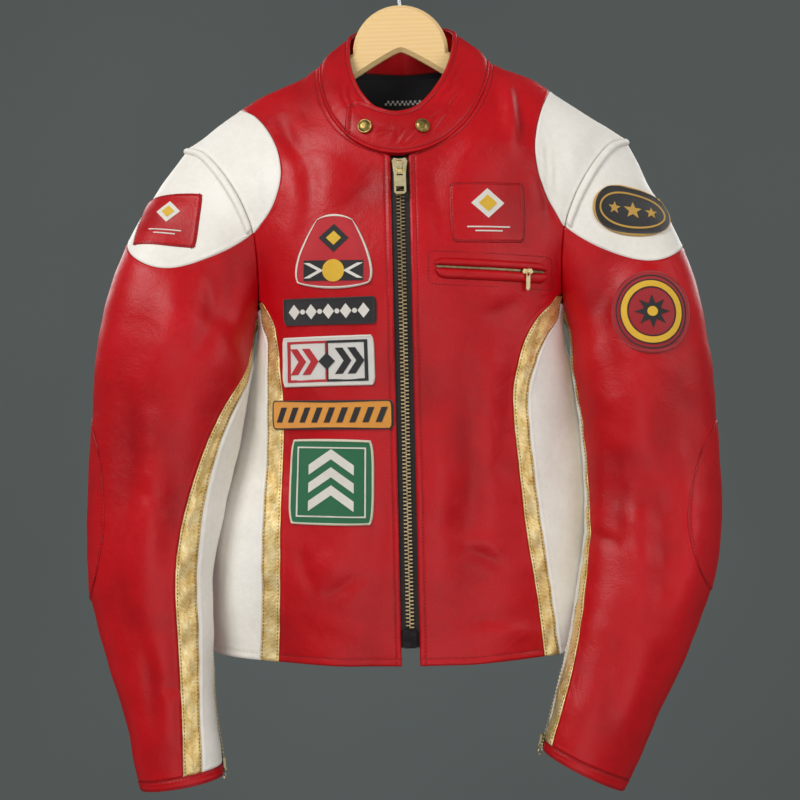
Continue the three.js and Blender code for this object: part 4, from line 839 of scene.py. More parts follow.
def cap_length(side, share):
    """Where the white cap ends on a line down the sleeve."""
    along = np.zeros(np.shape(share))
    for _ in range(30):
        turn = np.abs(main_turn(side, share, along)) / CAP_TURN
        reach = SLEEVE_CAP[side]["along"] * (1 + SLEEVE_CAP[side]["dip"] * turn)
        along = (along + reach * np.maximum(1 - turn**3.5, 0) ** 0.8) / 2
    return along


CAP_SHARES = [(turn - BACK_SEAM) / (SEAM_TOP - BACK_SEAM) for turn in (-CAP_TURN, CAP_TURN)]
for side in (RIGHT, LEFT):

    def main_panel(u, v, side=side):
        start = cap_length(side, u)
        along = v * CUFF_START + (start - 0.02 * np.exp(-start / 0.03)) * (1 - v) ** 3.5
        return on_sleeve(side, main_turn(side, u, along), along)

    def sleeve_cap(u, v, side=side):
        share = CAP_SHARES[0] + (0.001 + 0.998 * u) * (CAP_SHARES[1] - CAP_SHARES[0])
        along = v * cap_length(side, share)
        return on_sleeve(side, main_turn(side, share, along), along)

    def foil_strip(u, v, side=side):
        along = CUFF_START * v
        start = seam_turn(side, along, "seam", SEAM_TOP)
        return on_sleeve(side, start + u * (seam_turn(side, along, "foil", FOIL_TOP) - start), along)

    def under_panel(u, v, side=side):
        along = CUFF_START * v
        start = seam_turn(side, along, "foil", FOIL_TOP)
        return on_sleeve(side, start + u * (360 + BACK_SEAM - start), along)

    def cuff(u, v, side=side):
        return on_sleeve(side, 360 * u, CUFF_START + v * (SLEEVE_END - CUFF_START))

    name = NAMES[side]
    panel(f"sleeve_panel_{name}", main_panel, "sleeve", red_leather, f"sleeve_main_{name}")
    panel(
        f"white_sleeve_cap_{name}", sleeve_cap, "sleeve", white_leather, f"sleeve_cap_{name}",
    )
    panel(
        f"sleeve_foil_{name}", foil_strip, "sleeve", gold_foil, f"sleeve_stripe_{name}",
        sewn={"left": 2, "right": 2}, crumple=0.25,
    )
    panel(
        f"under_sleeve_{name}", under_panel, "sleeve", white_leather, f"sleeve_under_{name}",
        puff=3,
    )
    panel(
        f"cuff_band_{name}", cuff, "sleeve", red_leather, f"cuff_{name}",
        sewn={"top": 1.5, "bottom": 2}, closed=True,
    )

# Armhole welts: a strip of white cowhide folded over and sewn into the top of each armhole.
for side in (RIGHT, LEFT):
    reach = CAP_TURN * (CAP_TOP[side] - CAP_CORNER - 5) / (CAP_TOP[side] - CAP_CORNER)

    def welt(u, v, side=side, reach=reach):
        return on_sleeve(side, reach * (2 * u - 1), 0.11 * v)

    panel(
        f"sleeve_head_welt_{NAMES[side]}", welt, "sleeve", white_leather, f"armhole_welt_{NAMES[side]}",
        wall=2, stand=0.6, puff=2.7, roll=0.2,
    )

# Elbow pads: a second layer of red cowhide, topstitched all round on the outside of each elbow.
ELBOW = {RIGHT: {"turn": -3, "half": 52}, LEFT: {"turn": 8, "half": 60}}
for side in (RIGHT, LEFT):

    def elbow(u, v, side=side):
        x, y = 2 * u - 1, 2 * v - 1
        turn = ELBOW[side]["turn"] + ELBOW[side]["half"] * x * np.sqrt(1 - y * y / 2)
        return on_sleeve(side, turn, 5.1 + 1.1 * y * np.sqrt(1 - x * x / 2))

    panel(
        f"elbow_pad_{NAMES[side]}", elbow, "sleeve", red_leather, f"elbow_{NAMES[side]}",
        sewn=all_round(2.5), wall=1.4, stand=1.0, roll=0.5,
    )

# Collar: a stand collar of red cowhide on both faces, with a tab that laps over to the right and
# closes with two press studs. Its edges are turned and topstitched.
COLLAR = {"x": -2.5, "half": 54, "z": -90, "drop": 94, "rise": 20, "front": 60, "back": 40, "bulge": 5}
COLLAR_UNDER, TAB_END, TAB_LEAN, TAB_LIFT = 4, -398, 6, 3.3


def collar_point(angle, up):
    forward, across = np.cos(np.radians(angle)), np.sin(np.radians(angle))
    shift = ZIP["x"] * np.maximum(forward, 0)
    neck = on_body(
        NECK["half"] * across + shift,
        NECK["z"] - NECK["drop"] * np.maximum(forward, 0),
        np.where(forward > 0, FRONT, BACK),
    )[0]
    neck[..., 1] *= np.clip(np.abs(forward) / 0.02, 0, 1)
    rim = np.stack([
        COLLAR["half"] * across + COLLAR["x"] + shift,
        -np.where(forward > 0, COLLAR["front"], COLLAR["back"]) * forward,
        COLLAR["z"] - np.where(forward > 0, COLLAR["drop"], COLLAR["rise"]) * forward,
    ], axis=-1)
    out = unit(np.stack([across, -forward, np.full_like(forward, 0.3)], axis=-1))
    lap = np.clip((39 - (angle + 360)) / 33, 0, 1)
    lift = TAB_LIFT * lap * lap * (3 - 2 * lap) + COLLAR["bulge"] * np.sin(np.pi * up)
    return neck + up[..., None] * (rim - neck) + out * lift[..., None]


def on_collar(angle, up):
    angle, up = np.broadcast_arrays(np.asarray(angle, float), np.asarray(up, float))
    round_it = collar_point(angle + 1, up) - collar_point(angle - 1, up)
    rise = collar_point(angle, up + 0.01) - collar_point(angle, up - 0.01)
    return collar_point(angle, up), unit(np.cross(round_it, rise))


def collar(u, v):
    angle = COLLAR_UNDER + u * (TAB_END - COLLAR_UNDER)
    lap = np.clip((-360 - angle) / 38, 0, 1)
    top = 1 - 0.16 * np.clip((lap - 0.25) / 0.6, 0, 1) ** 2 - 0.28 * np.clip((lap - 0.8) / 0.2, 0, 1) ** 2
    up = (1 - v) * top - 0.035 * v
    return on_collar(angle - TAB_LEAN * up * lap, up)


panel(
    "stand_collar", collar, "collar", red_leather, "collar", inside=red_leather, wall=2.8,
    sewn={"top": 6, "bottom": 5, "right": 6}, piped={"top": 5, "bottom": 4, "right": 5}, roll=0.8, cell=2.2,
)

# Press studs: brass caps pressed into shallow domes with a rolled edge, gone brown with age.
antique_brass, tree, shader = finish("antiqued_pressed_brass")
stain = noise(tree, spot_of(tree), 260, 5, 0.7)
feed(tree, shader, {
    "Base Color": ramp(tree, stain, (0.35, "#6b5a2c"), (0.7, "#b39c5e")),
    "Roughness": spread(tree, stain, 0.5, 0.28),
    "Normal": bumped(tree, stain, 0.12),
    "Metallic": 1,
})


def frame_at(point, normal):
    """Axes at a place on the leather: across, up the surface, and off it."""
    across = unit(np.cross([0, 0, 1], normal))
    return np.stack([across, np.cross(normal, across), normal], axis=1), point


def turned(name, profile, seat, material, around=40):
    """A turned piece from a profile of radius and height, set on a place."""
    axes, point = frame_at(*seat)
    profile = np.array(profile, float)
    angle = np.linspace(0, 2 * np.pi, around, endpoint=False)
    ring = np.stack([np.cos(angle), np.sin(angle)], axis=-1)
    local = np.concatenate([
        np.concatenate([radius * ring, np.full((around, 1), height)], axis=1) for radius, height in profile
    ])
    rows = np.arange(len(profile) * around).reshape(len(profile), around)
    rows = np.concatenate([rows, rows[:, :1]], axis=1)
    quads = np.stack([rows[:-1, :-1], rows[1:, :-1], rows[1:, 1:], rows[:-1, 1:]], -1).reshape(-1, 4)
    return piece(name, local @ axes.T + point, quads, [material])


STUD = [
    (0.01, -2), (6.9, -2), (7.2, -0.4), (7.3, 0.3), (7.1, 0.75), (6.7, 0.9), (6.3, 0.75), (6.0, 0.8),
    (5.6, 1.25), (4.8, 1.75), (3.6, 2.15), (2.2, 2.4), (1.0, 2.5), (0.01, 2.52),
]
for node_name, angle, up, seat in (("snap_tab", -24, 0.38, 0.6), ("snap_fixed", 18, 0.46, 0.2)):
    p, n = on_collar(angle - 360, up)
    stud = turned(f"press_stud_{node_name[5:]}", STUD, (p + seat * n, n), antique_brass)
    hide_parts(node_name)
    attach(stud, "jacket")

# Neck lining of black polyester twill, with a woven size label that has a chequered edge.
label_cloth, tree, shader = finish("woven_damask_label")
uv = node(tree, "ShaderNodeUVMap", uv_map="UVMap")
at = node(tree, "ShaderNodeSeparateXYZ", {0: uv})
chequer = node(tree, "ShaderNodeTexChecker", {
    "Vector": uv, "Scale": 1000 / 2.6, "Color1": to_linear("#ece9e0"), "Color2": to_linear("#141315"),
})
edge = joined(tree, at.outputs["Y"], 5.2 * MM, "LESS_THAN")
feed(tree, shader, {
    "Base Color": blend(tree, edge, "#2b2822", chequer.outputs["Color"]),
    "Normal": bumped(tree, ribs(tree, uv, 900, "Y"), 0.1),
    "Roughness": 0.75,
})


def lining(u, v):
    return on_body(-70 + 140 * u, -128 - 112 * v, BACK)


def label(u, v):
    return on_body(-23 + 44 * u, -148 - 28 * v, BACK)


panel("neck_lining", lining, "body", black_lining, "lining_back", wall=1, stand=-4.3)
panel(
    "size_label", label, "body", label_cloth, "label", wall=0.6, stand=-6, roll=0.1,
    inside=label_cloth,
)

# Main zip: cold-formed brass teeth on a black woven tape, closed from the box at the hem up to the
# slider. The pin and box are black, and the slider and pull are bright cast brass.
def woven(name, warp, weft):
    """Tape of two threads of nearly one colour, crossing on the bias."""
    material, tree, shader = finish(name)
    uv = node(tree, "ShaderNodeUVMap", uv_map="UVMap")
    turn = node(tree, "ShaderNodeMapping", {0: uv, "Rotation": (0, 0, math.radians(38))})
    weave = joined(tree, ribs(tree, turn, 320, "X"), ribs(tree, turn, 320, "Y"), "MULTIPLY")
    shade = spread(tree, joined(tree, weave, noise(tree, uv, 130, 5)), start=0.3, end=1.3)
    feed(tree, shader, {
        "Base Color": blend(tree, shade, weft, warp),
        "Normal": bumped(tree, weave, 0.22),
        "Roughness": 0.75,
        "Sheen Weight": 0.15,
    })
    return material


def cast(name, bright, dull, roughness):
    """Bare metal that is brighter where it is handled."""
    material, tree, shader = finish(name)
    place = spot_of(tree)
    grain = noise(tree, place, 900, 3)
    shade = spread(tree, noise(tree, place, 180, 6, 0.7), start=0.25, end=0.6)
    feed(tree, shader, {
        "Base Color": blend(tree, shade, dull, bright),
        "Roughness": spread(tree, grain, roughness - 0.06, roughness + 0.1),
        "Normal": bumped(tree, grain, 0.004),
        "Metallic": 1,
    })
    return material


zip_tape = woven("black_woven_zip_tape", "#2a2322", "#100d0d")
bright_brass = cast("bright_cast_brass", "#f9eabc", "#e3cb8c", 0.3)
tooth_brass = cast("worn_tooth_brass", "#b5a17c", "#7a6748", 0.36)
ZIP_BACK = -LEATHER - 0.4


def tape(u, v):
    top = ZIP["top"] - 3
    return on_body(ZIP["x"] + 13 * (2 * u - 1), top + v * (ZIP["foot"] - top), FRONT)


panel(
    "zip_tapes", tape, "body", zip_tape, "zip_tape", wall=1, stand=ZIP_BACK, roll=0.1,
    inside=zip_tape,
)


def row_tree(shape):
    """A node tree that sets one small shape at a pitch along lines, turned to the line and to the
    surface that the line lies on."""
    tree = bpy.data.node_groups.new(f"row_of_{shape}", "GeometryNodeTree")
    face = tree.interface
    sockets = {"Lines": "Geometry", "Pitch": "Float", "Size": "Vector", "Finish": "Material"}
    for label, kind in sockets.items():
        face.new_socket(label, in_out="INPUT", socket_type="NodeSocket" + kind)
    face.new_socket("Row", in_out="OUTPUT", socket_type="NodeSocketGeometry")
    given = node(tree, "NodeGroupInput").outputs
    curve = node(tree, "GeometryNodeMeshToCurve", {0: given["Lines"]})
    spacing = {"Curve": curve, "Length": given["Pitch"]}
    spaced = node(tree, "GeometryNodeResampleCurve", spacing, mode="LENGTH")
    along = node(tree, "GeometryNodeInputTangent")
    off = node(tree, "GeometryNodeInputNamedAttribute", {"Name": "off"}, data_type="FLOAT_VECTOR")
    turn = node(tree, "FunctionNodeAxesToRotation", {0: off, 1: along}, primary_axis="Z", secondary_axis="X")
    if shape == "thread":
        one = node(tree, "GeometryNodeMeshUVSphere", {"Segments": 7, "Rings": 5, "Radius": 0.5})
    else:
        one = node(tree, "GeometryNodeMeshCube", {"Size": (1, 1, 1)})
    copies = node(tree, "GeometryNodeInstanceOnPoints", {
        "Points": spaced, "Instance": one.outputs["Mesh"], "Rotation": turn, "Scale": given["Size"],
    })
    real = node(tree, "GeometryNodeRealizeInstances", {0: copies})
    done = node(tree, "GeometryNodeSetMaterial", {"Geometry": real, "Material": given["Finish"]})
    node(tree, "NodeGroupOutput", {0: done})
    return tree


ROWS = {shape: row_tree(shape) for shape in ("thread", "tooth")}


def row(name, shape, lines, pitch, size, material, slot):
    """One mesh of like shapes along lines. A line is a run of places and normals, in millimetres."""
    mesh = bpy.data.meshes.new(name)
    edges, first = [], 0
    for line in lines:
        edges += [(first + k, first + k + 1) for k in range(len(line) - 1)]
        first += len(line)
    places = np.concatenate(lines)
    mesh.from_pydata((places[:, :3] * MM).tolist(), edges, [])
    mesh.attributes.new("off", "FLOAT_VECTOR", "POINT").data.foreach_set("vector", places[:, 3:].ravel())
    carrier = placed(name, mesh)
    modifier = carrier.modifiers.new("row", "NODES")
    modifier.node_group = ROWS[shape]
    sockets = {s.name: s.identifier for s in ROWS[shape].interface.items_tree if s.in_out == "INPUT"}
    modifier[sockets["Pitch"]] = pitch * MM
    modifier[sockets["Size"]] = [side * MM for side in size]
    modifier[sockets["Finish"]] = material
    shaped = carrier.evaluated_get(bpy.context.evaluated_depsgraph_get())
    carrier_mesh = bpy.data.meshes.new_from_object(shaped)
    bpy.data.objects.remove(carrier)
    made = placed(name, carrier_mesh)
    made.data.polygons.foreach_set("use_smooth", np.full(len(made.data.polygons), shape == "thread"))
    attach(made, "jacket")
    return made


def raised(place, zone, stand):
    """Places of a surface with its folds, this far off the leather's cut shape."""
    p, n = place
    return np.concatenate([p + n * (fold(p, n, zone) + stand)[..., None], n], axis=-1)


def tooth_line(side):
    z = np.arange(ZIP["top"] - 14 - side * 0.93, ZIP["end"], -3)
    return raised(on_body(ZIP["x"] + side * 1.7, z, FRONT), "body", ZIP_BACK + 1.2)


chain = row(
    "zip_teeth", "tooth", [tooth_line(RIGHT), tooth_line(LEFT)], 3.7, (1.35, 4.5, 2.4), tooth_brass,
    "antique_brass",
)
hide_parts("zip_chain")


def machined(node_name, material, width):
    """A solid of the frame with its edges broken and its own finish."""
    solid = bpy.data.objects[node_name]
    edge = solid.modifiers.new("edge", "BEVEL")
    edge.width = width * MM
    edge.segments = 3
    edge.limit_method = "ANGLE"
    edge.angle_limit = math.radians(35)
    edge.harden_normals = True
    solid.data.materials.clear()
    solid.data.materials.append(material)
    for polygon in solid.data.polygons:
        polygon.use_smooth = True


black_enamel = cast("black_enamelled_zinc", "#2a2628", "#151214", 0.4)
machined("zip_slider", bright_brass, 0.6)
machined("zip_pull", bright_brass, 0.4)
machined("zip_box", black_enamel, 0.8)

# Chest pocket: two piped welts of cowhide with a fine brass zip between them, in a stitched frame.
POCKET = {"from": 25, "to": 136, "z": -344, "fall": 0.05, "zip": 1.1}


def pocket_line(x):
    return POCKET["z"] - POCKET["fall"] * (x - POCKET["from"])


def pocket_strip(above, below):
    def place(u, v):
        x = POCKET["from"] + u * (POCKET["to"] - POCKET["from"])
        return on_body(x, pocket_line(x) + above(x) + v * (below(x) - above(x)), FRONT)

    return place


def rounded(height):
    """Half a welt's height along the pocket, drawn in at both ends."""
    middle, half = (POCKET["from"] + POCKET["to"]) / 2, (POCKET["to"] - POCKET["from"]) / 2
    return lambda x: height * (1 - 0.55 * np.clip(np.abs(x - middle) / half, 0, 1) ** 22)


WELTS = [
    # name, node, outline, puff
    ("above", "upper", pocket_strip(rounded(9.2), lambda x: POCKET["zip"] + 0 * x), 2.4),
    ("below", "lower", pocket_strip(lambda x: 0 * x - POCKET["zip"], rounded(-11.7)), 2.8),
]
for name, node_name, strip, puff in WELTS:
    panel(
        f"pocket_welt_{name}", strip, "body", red_leather, f"pocket_welt_{node_name}",
        wall=1.4, stand=0.5, puff=puff, roll=0.3,
    )
x = np.arange(26, 133, 2.0)
teeth = [
    raised(on_body(x + shift, pocket_line(x) + side * 0.45, FRONT), "body", 0.9)
    for side, shift in ((1, 0), (-1, 0.6))
]
pocket_teeth = row("pocket_zip_teeth", "tooth", teeth, 1.2, (0.7, 1.3, 1.0), tooth_brass, "black_cloth")
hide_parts("pocket_zip")
around = np.radians(np.arange(0, 360, 3.0))
corner = np.stack([np.cos(around), np.sin(around)], axis=1)
corner = np.sign(corner) * np.abs(corner) ** 0.14 * [62.5, 16.5]
frame_x = POCKET["from"] + 55.5 + corner[:, 0]
frame_z = pocket_line(frame_x) - 1 + corner[:, 1]
frame_line = raised(on_body(frame_x, frame_z, FRONT), "body", 0.1)
SEWN["pocket_frame"] = [np.concatenate([frame_line, frame_line[:1]])]
machined("pocket_slider", bright_brass, 0.3)
machined("pocket_pull", bright_brass, 0.3)

# Cuff zips: the same brass chain in a short opening behind each wrist, with a ring for a pull.
CUFF_ZIP = {"turn": 198, "from": 7, "to": 8.97}
for side in (RIGHT, LEFT):
    along = np.linspace(CUFF_ZIP["from"], CUFF_ZIP["to"] - 0.1, 60)

    def cuff_tape(u, v, side=side):
        turn = CUFF_ZIP["turn"] + 8 * (2 * u - 1)
        return on_sleeve(side, turn, CUFF_ZIP["from"] + v * (CUFF_ZIP["to"] - CUFF_ZIP["from"]))

    name = NAMES[side]
    panel(
        f"cuff_zip_tape_{name}", cuff_tape, "sleeve", zip_tape, f"cuff_zip_{name}",
        wall=0.6, stand=1.2, roll=0.1, inside=zip_tape,
    )
    lines = [
        raised(on_sleeve(side, CUFF_ZIP["turn"] + half * 1.6, along + half * 0.01), "sleeve", 2.1)
        for half in (-1, 1)
    ]
    row(f"cuff_teeth_{name}", "tooth", lines, 3.7, (1.7, 3.6, 1.8), tooth_brass, "antique_brass")
    machined(f"cuff_slider_{name}", bright_brass, 0.4)
    ring = bpy.data.objects[f"cuff_ring_{name}"]
    ring.data.materials.clear()
    ring.data.materials.append(bright_brass)
    ring.modifiers.new("round", "SUBSURF").render_levels = 2

# Patches: embroidered twill badges with a merrowed edge, sewn flat to the leather. Their motifs are
# plain bands, rings, stars and chevrons in raised satin stitch.
PATCHES = {
    # name: surface, x, z, width, height, tilt, round, taper, cloth, edge, slot
    "badge": ("body", -75, -326, 92, 74, -2, 0.6, 0.5, "#c8202b", "#efe9da", "cloth_scarlet"),
    "black_bar": ("body", -82, -385, 97, 27, -0.6, 0, 0, "#1d1a1c", "#1d1a1c", "cloth_black"),
    "white_bar": ("body", -85, -434.5, 97, 50, 0.2, 0, 0, "#e6e2da", "#ece7da", "cloth_white"),
    "yellow_bar": ("body", -83, -488, 127, 29, -0.7, 0, 0, "#f0a03c", "#1d1a1c", "cloth_amber"),
    "green": ("body", -83, -555, 86, 86, -1.6, 0.1, 0, "#1f6f46", "#e9e2c8", "cloth_green"),
    "chest": ("body", 79, -290, 77, 61, 0, 0.1, 0, None, None, "cloth_crimson"),
    "arm_square": (RIGHT, -245, -285, 71, 60, -4, 0.05, 0, None, None, "cloth_crimson"),
    "arm_oval": (LEFT, 228, -287, 92, 57, -8, 1, 0, "#1d1a1c", "#d6a648", "cloth_black"),
    "arm_round": (LEFT, 239, -393, 82, 84, 0, 1, 0, "#ab111c", "#ab111c", "cloth_crimson"),
}


ARM_WRAP = 62
NUDGE = 0.01


def chart_of(surface, x, z, tilt):
    """Maps flat millimetres, across and up from a patch's middle, to places on its surface."""
    if surface == "body":
        look, zone, at = (lambda a, b: on_body(a, b, FRONT)), "body", np.array([x, z], float)
    else:
        look, zone, at = (lambda a, b: on_sleeve(surface, a, b)), "sleeve", np.array([60.0, 1.5])
        for _ in range(30):
            here = look(*at)[0][[0, 2]]
            slopes = np.stack([(look(*(at + d))[0][[0, 2]] - here) / NUDGE for d in NUDGE * np.eye(2)], 1)
            at = at + np.clip(np.linalg.solve(slopes, np.array([x, z]) - here), [-12, -0.2], [12, 0.2])
    middle, n = look(*at)
    across = unit(np.cross([0, 0, 1], n))
    up = np.cross(n, across)
    t = math.radians(tilt)
    axes = np.stack([math.cos(t) * across + math.sin(t) * up, math.cos(t) * up - math.sin(t) * across], 1)
    step = 1.0 if surface == "body" else NUDGE

    def place(right, rise):
        wrapped = right if surface == "body" else ARM_WRAP * np.sin(right / ARM_WRAP)
        target = np.stack(np.broadcast_arrays(wrapped, rise), -1)
        spot = np.broadcast_to(at, target.shape).copy()
        for _ in range(6):
            here, aside, below = (
                (look(spot[..., 0] + a, spot[..., 1] + b)[0] - middle) @ axes
                for a, b in ((0, 0), (step, 0), (0, step))
            )
            slopes = np.stack([(aside - here) / step, (below - here) / step], -1)
            spot += np.linalg.solve(slopes, (target - here)[..., None])[..., 0]
        return look(spot[..., 0], spot[..., 1])

    return place, zone


def embroidered(name, ground, edge):
    """Polyester thread on twill. Within 2.3 mm of the rim the thread is the merrowed edge's."""
    material, tree, shader = finish(name)
    uv = node(tree, "ShaderNodeUVMap", uv_map="UVMap")
    rim = node(tree, "ShaderNodeAttribute", attribute_name="rim").outputs["Fac"]
    turn = node(tree, "ShaderNodeMapping", {0: uv, "Rotation": (0, 0, math.radians(45))})
    twill = ribs(tree, turn, 330, "X", 0.6)
    lit = spread(tree, joined(tree, twill, noise(tree, uv, 90, 5, 0.7)), 0.72, 1.12, end=2)
    tint = blend(tree, joined(tree, rim, 2.3, "LESS_THAN"), ground, edge)
    feed(tree, shader, {
        "Base Color": scaled(tree, tint, lit),
        "Normal": bumped(tree, twill, 0.25),
        "Roughness": 0.62,
        "Sheen Weight": 0.25,
    })
    return material


CHARTS = {}
for name, (surface, x, z, width, height, tilt, rounding, taper, cloth, edge, slot) in PATCHES.items():
    place, zone = chart_of(surface, x, z, tilt)
    CHARTS[name] = place, zone

    def patch(u, v, place=place, width=width, height=height, rounding=rounding, taper=taper):
        a, b = 2 * u - 1, 1 - 2 * v
        half = width / 2 * (1 - taper * (b + 1) / 2) * (1 - 0.06 * (a * b) ** 8)
        right = half * a * np.sqrt(1 - rounding * b * b / 2)
        return place(right, height / 2 * b * np.sqrt(1 - rounding * a * a / 2))

    if cloth:
        panel(
            f"cloth_{name}", patch, zone, embroidered(f"embroidered_twill_{name}", cloth, edge),
            f"patch_{name}", wall=1.3, stand=1.6, roll=0.5,
            piped=all_round(2.4),
        )
    else:
        panel(
            f"leather_{name}", patch, zone, red_leather, f"patch_{name}", wall=1.3, stand=1.1,
            sewn=all_round(2), roll=0.5,
        )


# Outlines for the motifs, as flat points about a middle, in millimetres.
def oval(x, y, wide, high, count=40):
    t = np.linspace(0, 2 * np.pi, count, endpoint=False)
    return np.stack([x + wide / 2 * np.cos(t), y + high / 2 * np.sin(t)], axis=1)


def bar(x, y, wide, high):
    return np.array([[x - wide / 2, y - high / 2], [x + wide / 2, y - high / 2],
                     [x + wide / 2, y + high / 2], [x - wide / 2, y + high / 2]])


def star(x, y, radius, points=5, waist=0.42):
    t = np.pi / 2 + np.arange(2 * points) * np.pi / points
    r = np.where(np.arange(2 * points) % 2, waist, 1.0) * radius
    return np.stack([x + r * np.cos(t), y + r * np.sin(t)], axis=1)


def chevron(x, y, wide, high, thick):
    """A chevron that points to the right."""
    return np.array([[x - wide / 2, y - high / 2], [x - wide / 2 + thick, y - high / 2], [x + wide / 2, y],
                     [x - wide / 2 + thick, y + high / 2], [x - wide / 2, y + high / 2],
                     [x + wide / 2 - thick, y]])


def slant(x, y, wide, high, lean):
    return bar(x, y, wide, high) + np.array([[-lean / 2, 0], [-lean / 2, 0], [lean / 2, 0], [lean / 2, 0]])


def rise(x, y, wide, high, thick):
    """A chevron that points up."""
    return chevron(y, -x, high, wide, thick)[:, ::-1] * [-1, 1]


def inside_of(points, outline):
    """Which points an outline holds."""
    x, y = points[:, :1], points[:, 1:]
    a, b = outline, np.roll(outline, -1, axis=0)
    spans = (a[:, 1] > y) != (b[:, 1] > y)
    rise = np.where(b[:, 1] == a[:, 1], 1, b[:, 1] - a[:, 1])
    return (spans & (x < (b[:, 0] - a[:, 0]) * (y - a[:, 1]) / rise + a[:, 0])).sum(axis=1) % 2 == 1


def satin(name, patch_name, outlines, material, layer, hole):
    """Raised satin stitch: flat shapes laid on a patch and following it."""
    place, zone = CHARTS[patch_name]
    vertices, faces, uvs = [], [], []
    for outline in outlines:
        steps = [np.linspace(p, q, max(int(np.linalg.norm(q - p) / 2.5), 1), endpoint=False)
                 for p, q in zip(outline, np.roll(outline, -1, axis=0))]
        rim = np.concatenate(steps)
        rings = [rim] if hole is None else [rim, hole]
        low, high = rim.min(axis=0), rim.max(axis=0)
        columns = (np.arange(least + 1.2, most, 2.5) for least, most in zip(low, high))
        grid = np.stack(np.meshgrid(*columns), -1).reshape(-1, 2)
        grid = grid[inside_of(grid, rim)]
        if hole is not None:
            grid = grid[~inside_of(grid, hole)]
        corners = np.concatenate(rings + [grid])
        edges, first = [], 0
        for loop in rings:
            edges += [(first + k, first + (k + 1) % len(loop)) for k in range(len(loop))]
            first += len(loop)
        flat, _, cut, *_ = delaunay_2d_cdt([Vector(c) for c in corners.tolist()], edges, [], 0, 1e-5)
        flat = np.array([tuple(c) for c in flat])
        cut = np.array(cut)
        middle = flat[cut].mean(axis=1)
        keep = inside_of(middle, rim)
        if hole is not None:
            keep &= ~inside_of(middle, hole)
        cut = cut[keep]
        p, n = place(flat[:, 0], flat[:, 1])
        lift = fold(p, n, zone)[:, None]
        sides = np.concatenate([cut[:, [0, 1]], cut[:, [1, 2]], cut[:, [2, 0]]])
        pairs = {tuple(pair) for pair in sides.tolist()}
        border = [(a, b) for a, b in pairs if (b, a) not in pairs]
        base, count = sum(len(v) for v in vertices), len(flat)
        vertices += [p + n * (lift + layer), p + n * (lift + layer - 0.7)]
        uvs += [flat, flat]
        top = (cut + base).tolist()
        bottom = (cut[:, ::-1] + base + count).tolist()
        wall = [(a + base, a + base + count, b + base + count, b + base) for a, b in border]
        faces += top + bottom + wall
    mesh = bpy.data.meshes.new(name)
    mesh.from_pydata((np.concatenate(vertices) * MM).tolist(), [], faces)
    loops = np.empty(len(mesh.loops), int)
    mesh.loops.foreach_get("vertex_index", loops)
    mesh.uv_layers.new(name="UVMap").data.foreach_set("uv", (np.concatenate(uvs)[loops] * MM).ravel())
    mesh.attributes.new("rim", "FLOAT", "POINT").data.foreach_set("value", np.full(len(mesh.vertices), 9.0))
    mesh.materials.append(material)
    made = placed(name, mesh)
    cleaned = bmesh.new()
    cleaned.from_mesh(mesh)
    bmesh.ops.remove_doubles(cleaned, verts=cleaned.verts, dist=1e-7)
    bmesh.ops.recalc_face_normals(cleaned, faces=cleaned.faces)
    cleaned.to_mesh(mesh)
    cleaned.free()
    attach(made, "jacket")


